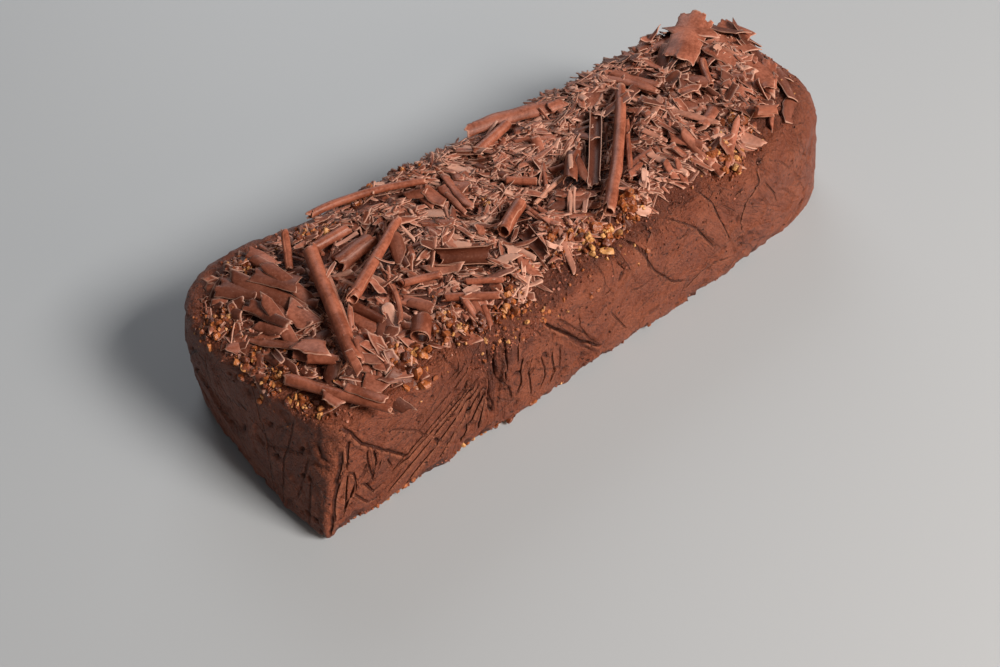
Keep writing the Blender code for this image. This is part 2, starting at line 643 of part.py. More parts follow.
def add_shavings(loaf, collection, looks):
    """Lay each shaving on the loaf and on the shavings before it, GAP clear."""
    points, faces = solid_points_and_faces(loaf)
    for item in SHAVINGS:
        look = looks["quill" if item.sweep > 180 else "shaving"]
        made = add_object(item.name, shaving_mesh(item), collection, look.copy())
        made.location = (item.x * MM, item.y * MM, CLEAR_AIR)
        made.rotation_euler = Euler(
            (0.0, -math.radians(item.tilt), math.radians(item.heading)))
        wall = made.modifiers.new("wall", "SOLIDIFY")
        wall.thickness = SHAVING_WALL
        wall.offset = 0.0
        bpy.context.view_layer.update()
        own_points, own_faces = solid_points_and_faces(made)
        below = BVHTree.FromPolygons(points, faces)
        top_below = max(point.z for point in points)
        fall = resting_fall(own_points, own_faces, below, top_below)
        made.location.z -= fall
        first = len(points)
        points += [point - Vector((0.0, 0.0, fall)) for point in own_points]
        faces += [tuple(index + first for index in face) for face in own_faces]
    bpy.context.view_layer.update()


def build():
    clear_scene()
    scene = bpy.context.scene.collection
    cake = bpy.data.collections.new("chocolate_biscuit_cake")
    scene.children.link(cake)
    fused = bpy.data.collections.new("fused_toppings")
    scene.children.link(fused)
    looks = {
        "quill": material("quill", COLOURS["quill"], 0.45),
        "shaving": material("shaving", COLOURS["shaving"], 0.5),
    }
    cream = material("cream", COLOURS["cream"], 0.5)
    loaf = add_object("cake", loaf_mesh(), cake, cream)
    points, faces = solid_points_and_faces(loaf)
    tree = BVHTree.FromPolygons(points, faces)
    scatter_flakes(tree, fused)
    scatter_nuts(tree, fused)
    fuse(loaf, fused)
    add_shavings(loaf, cake, looks)


build()
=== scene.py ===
# %% [markdown]
# # A chocolate biscuit cake
# A plain faceted model of the cake exists already. This lesson dresses it. The loaf gets
# its knifed cream, the rolled chocolate gets thin walls and broken ends, and thousands of
# slivers, flakes and chopped nuts are dropped on top, each by a rule with a fixed seed.
# Everything is in metres, with +Z up and the flat base on the floor.

# %% Load the plain model and keep its box
import itertools
import random
from collections import namedtuple
from math import atan, atan2, cos, exp, hypot, pi, radians, sin, sqrt, tan

import bpy
import numpy as np
from mathutils import Matrix, Vector
from mathutils.bvhtree import BVHTree


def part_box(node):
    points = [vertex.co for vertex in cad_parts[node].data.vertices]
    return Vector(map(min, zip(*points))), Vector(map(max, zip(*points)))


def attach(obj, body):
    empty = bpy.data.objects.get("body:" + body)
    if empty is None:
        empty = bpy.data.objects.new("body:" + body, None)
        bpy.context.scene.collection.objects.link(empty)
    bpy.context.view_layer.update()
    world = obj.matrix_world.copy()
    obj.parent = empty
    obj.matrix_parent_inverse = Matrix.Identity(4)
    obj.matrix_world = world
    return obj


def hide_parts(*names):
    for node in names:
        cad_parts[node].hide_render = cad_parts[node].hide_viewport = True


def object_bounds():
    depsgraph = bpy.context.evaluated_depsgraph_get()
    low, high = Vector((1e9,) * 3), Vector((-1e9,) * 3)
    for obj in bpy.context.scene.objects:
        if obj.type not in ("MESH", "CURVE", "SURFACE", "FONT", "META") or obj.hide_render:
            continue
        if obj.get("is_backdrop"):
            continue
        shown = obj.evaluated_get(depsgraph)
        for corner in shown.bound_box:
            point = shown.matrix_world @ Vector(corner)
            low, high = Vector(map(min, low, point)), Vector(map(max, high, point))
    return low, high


MM = 0.001
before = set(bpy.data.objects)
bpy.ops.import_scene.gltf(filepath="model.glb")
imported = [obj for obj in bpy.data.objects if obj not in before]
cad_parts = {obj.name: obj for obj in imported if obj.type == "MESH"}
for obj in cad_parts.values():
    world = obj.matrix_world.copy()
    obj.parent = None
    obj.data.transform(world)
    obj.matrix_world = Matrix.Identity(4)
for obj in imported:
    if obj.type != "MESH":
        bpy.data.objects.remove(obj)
cad_low, cad_high = (np.array(corner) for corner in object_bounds())
print("plain model, mm:", np.round((cad_high - cad_low) / MM, 1))

# %% [markdown]
# ## Small tools
# `smooth` eases from 0 to 1, and `falling` from 1 to 0. `uneven` is a field of soft random
# hills, which chocolate needs everywhere. `mesh_of` turns arrays of points and faces into a
# mesh, and `piece` makes an object of it.
# Points that come from one formula over a grid are quicker and tidier than modelling by
# hand, and the grid's own columns and rows give the faces.

# %% Easing and uneven fields
LATTICE = 32            # random values each way, after which a field repeats
UV_PER_METRE = 100.0    # 10 mm is 1 on every UV map


def smooth(share):
    """Smoothstep: 0 below 0, 1 above 1, and 3 s squared less 2 s cubed between."""
    share = np.clip(share, 0.0, 1.0)
    return share * share * (3.0 - 2.0 * share)


def falling(share):
    """One less `smooth`: 1 below 0 and 0 above 1."""
    return 1.0 - smooth(share)


def uneven(points, size, seed):
    """A field of -1 to 1: seeded random values on a lattice `size` apart, eased between."""
    table = np.random.default_rng(seed).uniform(-1.0, 1.0, (LATTICE, LATTICE, LATTICE))
    scaled = np.asarray(points) / size
    cell = np.floor(scaled).astype(int)
    share = smooth(scaled - cell)
    field = np.zeros(scaled.shape[:-1])
    for corner in itertools.product((0, 1), repeat=3):
        weight = np.prod(np.where(np.array(corner) == 1, share, 1.0 - share), axis=-1)
        x, y, z = np.moveaxis((cell + corner) % LATTICE, -1, 0)
        field += weight * table[x, y, z]
    return field


# %% From arrays to an object
def grid_quads(rows, columns, closed=False):
    """Faces of a grid of points: each joins row i, column j to the next row and column."""
    last = columns if closed else columns - 1
    row, column = np.meshgrid(np.arange(rows - 1), np.arange(last), indexing="ij")
    beside = (column + 1) % columns
    corners = (row * columns + column, row * columns + beside,
               (row + 1) * columns + beside, (row + 1) * columns + column)
    return np.stack(corners, axis=-1).reshape(-1, 4)


def slab_quads(rows, columns):
    """Faces of a thin closed slab: an upper grid, a lower grid after it, and the rim."""
    upper = grid_quads(rows, columns)
    lower = upper[:, ::-1] + rows * columns
    index = np.arange(rows * columns).reshape(rows, columns)
    rim = np.concatenate([index[0, :-1], index[:-1, -1], index[-1, :0:-1], index[:0:-1, 0]])
    ahead = np.roll(rim, -1)
    under = rows * columns
    side = np.stack([ahead, rim, rim + under, ahead + under], axis=1)
    return np.concatenate([upper, lower, side])


def mesh_of(name, points, faces, corner_uv=None, **values):
    """A mesh from points, a list of face arrays, a UV for each corner and values for each point."""
    sizes = np.concatenate([np.full(len(part), part.shape[1]) for part in faces])
    corners = np.concatenate([part.ravel() for part in faces]).astype(np.int32)
    mesh = bpy.data.meshes.new(name)
    mesh.vertices.add(len(points))
    mesh.vertices.foreach_set("co", np.asarray(points, dtype=np.float32).ravel())
    mesh.loops.add(len(corners))
    mesh.loops.foreach_set("vertex_index", corners)
    mesh.polygons.add(len(sizes))
    starts = np.concatenate([[0], np.cumsum(sizes)[:-1]]).astype(np.int32)
    mesh.polygons.foreach_set("loop_start", starts)
    mesh.update(calc_edges=True)
    if corner_uv is not None:
        layer = mesh.uv_layers.new(name="UVMap")
        layer.data.foreach_set("uv", np.asarray(corner_uv, dtype=np.float32).ravel())
    for label, numbers in values.items():
        kept = mesh.attributes.new(label, "FLOAT", "POINT")
        kept.data.foreach_set("value", np.asarray(numbers, dtype=np.float32).ravel())
    return mesh


def in_box(points, margin):
    """The points, held inside the plain model's box by the margin."""
    return np.clip(points, cad_low + margin, cad_high - margin)


def piece(name, mesh, look, slot, nodes=()):
    """Link the mesh as a piece that rides on the cake's one body."""
    mesh.materials.append(look)
    mesh.polygons.foreach_set("use_smooth", np.full(len(mesh.polygons), True))
    made = bpy.data.objects.new(name, mesh)
    bpy.context.scene.collection.objects.link(made)
    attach(made, "root")
    if nodes:
        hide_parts(*nodes)
    return made


# %% [markdown]
# ## Camera, light and floor
# The photograph looks down at the loaf from its near corner, across the long side. The
# camera's place, tilt and lens were worked out from straight edges of known length in the
# photograph. A window behind the camera, to its right, lights the top and the long side, so
# the near end is in shade. Wide area lights give the same soft look.

# %% Camera
CAMERA_PLACE = (-0.1970, -0.2117, 0.3363)
CAMERA_DOWN = radians(52.6)        # below the horizon
CAMERA_HEADING = radians(50.0)     # from +X towards +Y
CAMERA_ROLL = radians(-1.78)
CAMERA_LENS = 38.0                      # mm
CAMERA_SENSOR = 36.0                    # mm

camera = bpy.data.objects.new("camera", bpy.data.cameras.new("camera"))
camera.data.sensor_width = CAMERA_SENSOR
camera.data.lens = CAMERA_LENS
camera.data.clip_start = 0.01
ahead = Vector((cos(CAMERA_HEADING) * cos(CAMERA_DOWN),
                sin(CAMERA_HEADING) * cos(CAMERA_DOWN), -sin(CAMERA_DOWN)))
right = Vector((sin(CAMERA_HEADING), -cos(CAMERA_HEADING), 0.0))
down = ahead.cross(right)
across = cos(CAMERA_ROLL) * right + sin(CAMERA_ROLL) * down
below = cos(CAMERA_ROLL) * down - sin(CAMERA_ROLL) * right
turned = Matrix((across, -below, -ahead)).transposed()
camera.matrix_world = Matrix.Translation(CAMERA_PLACE) @ turned.to_4x4()
bpy.context.scene.collection.objects.link(camera)
bpy.context.scene.camera = camera
print("camera height, mm:", CAMERA_PLACE[2] / MM)


# %% Lights and floor
LIT_PLACE = (0.0, 0.0, 0.03)
FLOOR_HALF = 3.0


def softbox(name, place, size, power, colour):
    """A square area light at `place` that faces the middle of the loaf."""
    light = bpy.data.objects.new(name, bpy.data.lights.new(name, "AREA"))
    light.data.shape = "SQUARE"
    light.data.size = size
    light.data.energy = power
    light.data.color = colour
    light.location = place
    light.rotation_euler = (Vector(LIT_PLACE) - Vector(place)).to_track_quat("-Z", "Y").to_euler()
    bpy.context.scene.collection.objects.link(light)


softbox("window", (0.80, -1.46, 1.48), 0.75, 68.0, (1.0, 0.975, 0.94))
softbox("second window", (0.45, 1.05, 0.75), 0.8, 6.0, (0.90, 0.95, 1.0))
softbox("warm bounce", (0.25, -0.80, 0.16), 0.6, 4.2, (1.0, 0.74, 0.54))

world = bpy.data.worlds.new("soft room")
world.use_nodes = True
world.node_tree.nodes["Background"].inputs["Color"].default_value = (0.93, 0.90, 0.92, 1.0)
world.node_tree.nodes["Background"].inputs["Strength"].default_value = 0.12
bpy.context.scene.world = world
bpy.context.scene.view_settings.view_transform = "Standard"

floor_points = np.array([(-1, -1, 0), (1, -1, 0), (1, 1, 0), (-1, 1, 0)]) * FLOOR_HALF
floor_mesh = mesh_of("floor", floor_points, [np.array([[0, 1, 2, 3]])])
floor_look = bpy.data.materials.new("pale floor")
floor_look.use_nodes = True
floor_shader = floor_look.node_tree.nodes["Principled BSDF"]
floor_shader.inputs["Base Color"].default_value = (0.385, 0.395, 0.405, 1.0)
floor_shader.inputs["Roughness"].default_value = 0.6
floor_mesh.materials.append(floor_look)
floor = bpy.data.objects.new("floor", floor_mesh)
bpy.context.scene.collection.objects.link(floor)
floor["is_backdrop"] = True

# %% [markdown]
# ## What chocolate looks like close up
# Four effects turn up again and again, so each is a node group. *Mottled tone* mixes two
# browns by soft noise, because chilled chocolate is never one colour. *Streaks* are the
# fine parallel lines that a blade leaves: noise that is stretched along the UV map's first
# direction. *Facets* are the flat patches that a palette knife leaves in cream. *Grain* is
# the fine roughness that catches the light.

# %% Node helpers
MIDDLE_GREY = (0.5, 0.5, 0.5)


def feed(tree, socket, value):
    """Link a value that is another node's output to the socket, or set any other value on it."""
    if isinstance(value, bpy.types.NodeSocket):
        tree.links.new(value, socket)
    else:
        socket.default_value = value


def node(tree, kind, **inputs):
    """Add a node and feed its named inputs; a name in capitals sets a property instead."""
    made = tree.nodes.new(kind)
    for label, value in inputs.items():
        if label.isupper():
            setattr(made, label.lower(), value)
        else:
            feed(tree, made.inputs[label.replace("_", " ")], value)
    return made


def group(name, outputs, **inputs):
    """An empty node group with a Vector, the named inputs with their defaults, and the outputs.

    An input whose default is a tuple is a colour, and so is the output Color.
    """
    tree = bpy.data.node_groups.new(name, "ShaderNodeTree")
    tree.interface.new_socket("Vector", in_out="INPUT", socket_type="NodeSocketVector")
    for label, default in inputs.items():
        kind = "NodeSocketColor" if isinstance(default, tuple) else "NodeSocketFloat"
        made = tree.interface.new_socket(label, in_out="INPUT", socket_type=kind)
        made.default_value = default
    for label in outputs:
        kind = "NodeSocketColor" if label == "Color" else "NodeSocketFloat"
        tree.interface.new_socket(label, in_out="OUTPUT", socket_type=kind)
    return tree, tree.nodes.new("NodeGroupInput").outputs, tree.nodes.new("NodeGroupOutput").inputs


def place_group(tree, source, **inputs):
    """Put a group into a tree and feed its named inputs."""
    return node(tree, "ShaderNodeGroup", NODE_TREE=source, **inputs)


def math_node(tree, operation, *values):
    """A Math node of one to three values or sockets."""
    made = node(tree, "ShaderNodeMath", OPERATION=operation)
    for socket, value in zip(made.inputs, values):
        feed(tree, socket, value)
    return made.outputs[0]


def times(tree, first, second):
    """Two values multiplied."""
    return math_node(tree, "MULTIPLY", first, second)


def weighed(tree, *parts):
    """The sum of several values, each multiplied by its own weight."""
    total, *others = [times(tree, value, weight) for value, weight in parts]
    for other in others:
        total = math_node(tree, "ADD", total, other)
    return total


def vector_math(tree, operation, first, second):
    """A Vector Math node of two vectors or sockets."""
    made = node(tree, "ShaderNodeVectorMath", OPERATION=operation)
    for socket, value in zip(made.inputs, (first, second)):
        feed(tree, socket, value)
    return made.outputs["Value" if operation == "DOT_PRODUCT" else "Vector"]


def mix_colour(tree, share, first, second):
    """A colour Mix node of two colours or sockets."""
    made = node(tree, "ShaderNodeMix", DATA_TYPE="RGBA")
    sockets = (made.inputs["Factor"], *[s for s in made.inputs if s.type == "RGBA"])
    for socket, value in zip(sockets, (share, first, second)):
        feed(tree, socket, value)
    return [s for s in made.outputs if s.type == "RGBA"][0]


def layered(tree, colour, *layers):
    """Colours laid over a first one in turn; a layer is its mask, its share and its colour."""
    for mask, share, over in layers:
        colour = mix_colour(tree, times(tree, mask, share), colour, over)
    return colour


def band(tree, value, low, high):
    """Eases from 0 to 1 as a value goes from low to high."""
    return node(tree, "ShaderNodeMapRange", INTERPOLATION_TYPE="SMOOTHSTEP", Value=value,
                From_Min=low, From_Max=high).outputs["Result"]


def fade(tree, value, low, high):
    """Eases from 1 to 0 as a value goes from low to high."""
    return math_node(tree, "SUBTRACT", 1.0, band(tree, value, low, high))


def noise(tree, vector, scale, detail, roughness=0.5):
    """The value of a Noise Texture."""
    return node(tree, "ShaderNodeTexNoise", Vector=vector, Scale=scale, Detail=detail,
                Roughness=roughness).outputs["Fac"]


def stretched(tree, given):
    """A group's Vector scaled by its Along in the first direction and its Across in the second."""
    factors = node(tree, "ShaderNodeCombineXYZ")
    feed(tree, factors.inputs["X"], given["Along"])
    feed(tree, factors.inputs["Y"], given["Across"])
    return vector_math(tree, "MULTIPLY", given["Vector"], factors.outputs[0])


# %% The four effects
def mottled_tone_group():
    """Two browns mixed by noise of two sizes on the given coordinates, in metres."""
    tree, given, out = group("mottled tone", ["Color"], Dark=(0.1, 0.04, 0.02, 1),
                             Light=(0.2, 0.08, 0.05, 1), Scale=70.0)
    broad = noise(tree, given["Vector"], given["Scale"], 3.0, 0.55)
    fine = noise(tree, given["Vector"], times(tree, given["Scale"], 7.0), 3.0, 0.6)
    mask = band(tree, weighed(tree, (broad, 0.6), (fine, 0.4)), 0.36, 0.64)
    feed(tree, out["Color"], mix_colour(tree, mask, given["Dark"], given["Light"]))
    return tree


def streaks_group():
    """Noise stretched along the first UV direction, in two widths."""
    tree, given, out = group("blade streaks", ["Height", "Mask", "Lines"], Along=1.0, Across=14.0)
    lengthened = stretched(tree, given)
    coarse = noise(tree, lengthened, 1.0, 2.0)
    fine = noise(tree, lengthened, 3.1, 2.0, 0.6)
    height = weighed(tree, (coarse, 0.65), (fine, 0.35))
    away = math_node(tree, "ABSOLUTE", math_node(tree, "SUBTRACT", coarse, 0.5))
    feed(tree, out["Height"], height)
    feed(tree, out["Mask"], band(tree, height, 0.4, 0.62))
    feed(tree, out["Lines"], fade(tree, away, 0.008, 0.08))
    return tree


def grain_group():
    """Fine bumps of about a millimetre and less, and small pits now and then."""
    tree, given, out = group("fine grain", ["Height", "Pits"], Scale=900.0)
    bumps = noise(tree, given["Vector"], given["Scale"], 4.0, 0.65)
    spots = node(tree, "ShaderNodeTexVoronoi", Vector=given["Vector"],
                 Scale=times(tree, given["Scale"], 0.42))
    draw = node(tree, "ShaderNodeSeparateColor", Color=spots.outputs["Color"]).outputs[0]
    pits = times(tree, fade(tree, spots.outputs["Distance"], 0.05, 0.30),
                 band(tree, draw, 0.78, 0.84))
    feed(tree, out["Height"], math_node(tree, "SUBTRACT", bumps, times(tree, pits, 0.8)))
    feed(tree, out["Pits"], pits)
    return tree


def facets_group():
    """Flat tilted patches, longer than wide, each meeting the next in a crisp edge.

    Each cell of a stretched pattern has a random tilt, so its height is the dot product of the
    tilt with the way from the cell's middle.
    """
    tree, given, out = group("knife facets", ["Height", "Edge"], Along=0.5, Across=1.4)
    lengthened = stretched(tree, given)
    waves = node(tree, "ShaderNodeTexNoise", Vector=lengthened, Scale=1.6, Detail=3.0)
    swing = vector_math(tree, "SUBTRACT", waves.outputs["Color"], MIDDLE_GREY)
    swing = vector_math(tree, "MULTIPLY", swing, (0.9, 0.9, 0.0))
    moved = vector_math(tree, "ADD", lengthened, swing)
    cells = node(tree, "ShaderNodeTexVoronoi", Vector=moved, Scale=1.0)
    walls = node(tree, "ShaderNodeTexVoronoi", FEATURE="DISTANCE_TO_EDGE", Vector=moved, Scale=1.0)
    tilt = vector_math(tree, "SUBTRACT", cells.outputs["Color"], MIDDLE_GREY)
    way = vector_math(tree, "SUBTRACT", moved, cells.outputs["Position"])
    slope = vector_math(tree, "DOT_PRODUCT", way, tilt)
    draws = node(tree, "ShaderNodeSeparateColor", Color=cells.outputs["Color"]).outputs
    feed(tree, out["Height"], weighed(tree, (slope, 2.0), (draws[2], 0.3)))
    thin = fade(tree, walls.outputs["Distance"], 0.006, 0.035)
    feed(tree, out["Edge"], times(tree, thin, band(tree, draws[0], 0.4, 0.6)))
    return tree


MOTTLED = mottled_tone_group()
FACETS = facets_group()
STREAKS = streaks_group()
GRAIN = grain_group()
print("effects:", [tree.name for tree in (MOTTLED, FACETS, STREAKS, GRAIN)])

# %% [markdown]
# ## Materials
# The cream is matt where the knife dragged it and a little glossy where it slid. Rolled chocolate has
# fine lines along the roll and pale, broken edges, partly painted highlight. Nuts are caramel brown,
# each a little different. Every material takes what it needs from the same four groups.


# %% Shared material steps
def new_look(name):
    """A material with its shader and object coordinates ready."""
    look = bpy.data.materials.new(name)
    look.use_nodes = True
    tree = look.node_tree
    place = tree.nodes.new("ShaderNodeTexCoord").outputs["Object"]
    return look, tree, tree.nodes["Principled BSDF"], place


def attribute(tree, name):
    """The value of one of the mesh's own attributes."""
    return node(tree, "ShaderNodeAttribute", ATTRIBUTE_NAME=name).outputs["Fac"]


def uv_of(tree):
    """The mesh's own UV map."""
    return node(tree, "ShaderNodeUVMap", UV_MAP="UVMap").outputs["UV"]


def bump(tree, height, distance, strength, under=None):
    """A Bump node; `distance` is how high, in metres, a height of 1 stands."""
    made = node(tree, "ShaderNodeBump", Height=height, Distance=distance, Strength=strength)
    if under is not None:
        tree.links.new(under, made.inputs["Normal"])
    return made.outputs["Normal"]


def set_roughness(tree, shader, value, swing, least):
    """Roughness of `least` and `swing` times a value more."""
    feed(tree, shader.inputs["Roughness"], math_node(tree, "MULTIPLY_ADD", value, swing, least))


# %% Knifed chocolate cream
CREAM_DARK = (0.158, 0.0355, 0.0140, 1.0)
CREAM_LIGHT = (0.226, 0.0585, 0.0245, 1.0)
# Painted shade: the dark that fills the cream's lines, pits, creases and grain hollows.
CREAM_SHADE_DARK = (0.045, 0.0080, 0.0035, 1.0)
# Painted highlight: the pale of the lit lip below each line.
CREAM_LIT_LIP = (0.42, 0.155, 0.085, 1.0)
# Crumb brown and painted shade: the near black of the heap's crumbs, the dark band and the crevice.
CRUMB_AND_SHADE_BROWN = (0.055, 0.0115, 0.0055, 1.0)
CREAM_GLOSS, CREAM_TINT = 0.42, (1.0, 0.86, 0.80, 1.0)


def cream_material():
    """Brown cream in flat knifed patches, cut by crisp lines that lift an edge on one side. The
    lines, streaks, facet edges, pits and grain hollows are darkened as painted shade, and the lifted
    lip below a line is lightened as a painted highlight.

    `score` is the signed distance from the nearest line in millimetres, and `scored` is how plain
    that line is. `relief` is in millimetres too, and also carries the painted shadow of the foot's
    gaps.
    """
    look, tree, shader, place = new_look("knifed cream")
    uv = uv_of(tree)
    tone = place_group(tree, MOTTLED, Vector=place, Dark=CREAM_DARK, Light=CREAM_LIGHT, Scale=75.0)
    streaks = place_group(tree, STREAKS, Vector=uv, Along=0.35, Across=7.0)
    broad = place_group(tree, FACETS, Vector=uv, Along=0.55, Across=1.3)
    small = place_group(tree, FACETS, Vector=uv, Along=1.5, Across=3.4)
    grain = place_group(tree, GRAIN, Vector=place, Scale=1050.0)
    score = attribute(tree, "score")
    scored = attribute(tree, "scored")
    away = math_node(tree, "ABSOLUTE", score)
    cut = times(tree, scored, fade(tree, away, 0.20, 0.52))
    fading = math_node(tree, "EXPONENT", times(tree, away, -1.4))
    # Painted highlight: the lip below each line faces up to the light, so it is lightened.
    lip_highlight = times(tree, times(tree, scored, fading), band(tree, score, 0.20, 0.55))
    deep = fade(tree, attribute(tree, "relief"), -1.1, -0.3)
    lines = times(tree, streaks.outputs["Lines"], times(tree, attribute(tree, "lined"), 0.35))
    specks = fade(tree, grain.outputs["Height"], 0.28, 0.50)
    edges = weighed(tree, (broad.outputs["Edge"], 0.5), (small.outputs["Edge"], 0.2))
    # Painted shade: grain hollows, blade streaks, facet edges, the deep relief with the foot gaps'
    # painted shadow, cut lines and pits go towards the dark. The lip below a line gets a painted
    # highlight, and the heap's share, partly painted shade, goes to the crumb brown.
    colour = layered(tree, tone.outputs["Color"], (specks, 0.28, CREAM_SHADE_DARK),
                     (lines, 0.5, CREAM_SHADE_DARK), (edges, 1.0, CREAM_SHADE_DARK), (lip_highlight, 0.9, CREAM_LIT_LIP),
                     (deep, 0.8, CREAM_SHADE_DARK), (cut, 0.85, CREAM_SHADE_DARK),
                     (grain.outputs["Pits"], 0.8, CREAM_SHADE_DARK),
                     (attribute(tree, "heap"), 0.85, CRUMB_AND_SHADE_BROWN))
    feed(tree, shader.inputs["Base Color"], colour)
    set_roughness(tree, shader, streaks.outputs["Height"], 0.20, 0.36)
    shader.inputs["Specular IOR Level"].default_value = CREAM_GLOSS
    shader.inputs["Specular Tint"].default_value = CREAM_TINT
    shape = weighed(tree, (broad.outputs["Height"], 1.25), (small.outputs["Height"], 0.45),
                    (lip_highlight, 0.75), (cut, -0.7), (lines, -0.3), (edges, -0.25))
    fine = bump(tree, grain.outputs["Height"], 0.00125, 1.0)
    feed(tree, shader.inputs["Normal"], bump(tree, shape, 0.001, 1.0, fine))
    return look


# %% Rolled and flaked chocolate
# The darkest brown of a piece: its own dark tone, and painted shade where a piece lies in shade.
DEEP_BROWN_AND_SHADE = (0.040, 0.0075, 0.0032, 1.0)
CHOCOLATE_GLOSS, CHOCOLATE_TINT = 0.32, (1.0, 0.86, 0.78, 1.0)


def chocolate_material(name, dark, light, pale, edge_share, roughness):
    """Streaky milk chocolate with pale edges, partly painted highlight; `shade` makes one piece
    lighter than the next, by its own tone and by painted shade and sheen.
    """
    look, tree, shader, place = new_look(name)
    tone = place_group(tree, MOTTLED, Vector=place, Dark=dark, Light=light, Scale=120.0)
    streaks = place_group(tree, STREAKS, Vector=uv_of(tree), Along=0.8, Across=17.0)
    grain = place_group(tree, GRAIN, Vector=place, Scale=1300.0)
    shade = attribute(tree, "shade")
    # Low shades, dark by their own tone or as painted shade, are mixed towards the deep brown.
    lack = fade(tree, shade, 0.0, 0.6)
    # Pale bloom on the palest pieces, partly painted sheen where their tops catch the light.
    bloom_and_sheen = band(tree, shade, 0.75, 1.0)
    frost = band(tree, grain.outputs["Height"], 0.55, 0.75)
    # Pale broken rims: partly the chocolate's own paleness, partly painted highlight.
    pale_rim_and_highlight = band(tree, attribute(tree, "edge"), 0.45, 1.0)
    colour = layered(tree, tone.outputs["Color"], (streaks.outputs["Mask"], 0.20, dark),
                     (lack, 0.8, DEEP_BROWN_AND_SHADE), (bloom_and_sheen, 0.5, pale), (frost, 0.16, pale),
                     (pale_rim_and_highlight, edge_share, pale))
    feed(tree, shader.inputs["Base Color"], colour)
    set_roughness(tree, shader, streaks.outputs["Height"], 0.25, roughness)
    shader.inputs["Specular IOR Level"].default_value = CHOCOLATE_GLOSS
    shader.inputs["Specular Tint"].default_value = CHOCOLATE_TINT
    fine = bump(tree, grain.outputs["Height"], 0.00008, 0.7)
    feed(tree, shader.inputs["Normal"],
         bump(tree, streaks.outputs["Height"], 0.00016, 0.8, fine))
    return look


# %% Chopped nuts
NUT_SKIN = (0.085, 0.022, 0.009, 1)
NUT_BROWNS = ((0.0, (0.045, 0.0085, 0.0032, 1)), (0.35, (0.165, 0.0345, 0.0085, 1)),
              (0.75, (0.390, 0.105, 0.0235, 1)), (1.0, (0.64, 0.31, 0.105, 1)))


def nut_material():
    """Caramel brown, from dark skin to pale flesh by each nut's own shade."""
    look, tree, shader, place = new_look("chopped nuts")
    grain = place_group(tree, GRAIN, Vector=place, Scale=1100.0)
    ramp = node(tree, "ShaderNodeValToRGB", Fac=attribute(tree, "shade"))
    while len(ramp.color_ramp.elements) < len(NUT_BROWNS):
        ramp.color_ramp.elements.new(0.5)
    for element, (spot, brown) in zip(ramp.color_ramp.elements, NUT_BROWNS):
        element.position = spot
        element.color = brown
    patches = noise(tree, place, 420.0, 3.0)
    skin = band(tree, patches, 0.52, 0.66)
    feed(tree, shader.inputs["Base Color"],
         layered(tree, ramp.outputs["Color"], (skin, 0.55, NUT_SKIN)))
    set_roughness(tree, shader, patches, 0.3, 0.24)
    lumpy = bump(tree, patches, 0.0016, 0.9)
    feed(tree, shader.inputs["Normal"], bump(tree, grain.outputs["Height"], 0.00025, 0.8, lumpy))
    return look


CREAM = cream_material()
QUILL = chocolate_material(
    "rolled chocolate", dark=(0.170, 0.041, 0.0185, 1), light=(0.375, 0.116, 0.064, 1),
    pale=(0.62, 0.32, 0.215, 1), edge_share=0.5, roughness=0.27)
SHAVING = chocolate_material(
    "shaved chocolate", dark=(0.165, 0.040, 0.0180, 1), light=(0.385, 0.124, 0.072, 1),
    pale=(0.68, 0.39, 0.285, 1), edge_share=0.55, roughness=0.34)
NUT = nut_material()
print("materials:", [look.name for look in (CREAM, QUILL, SHAVING, NUT)])
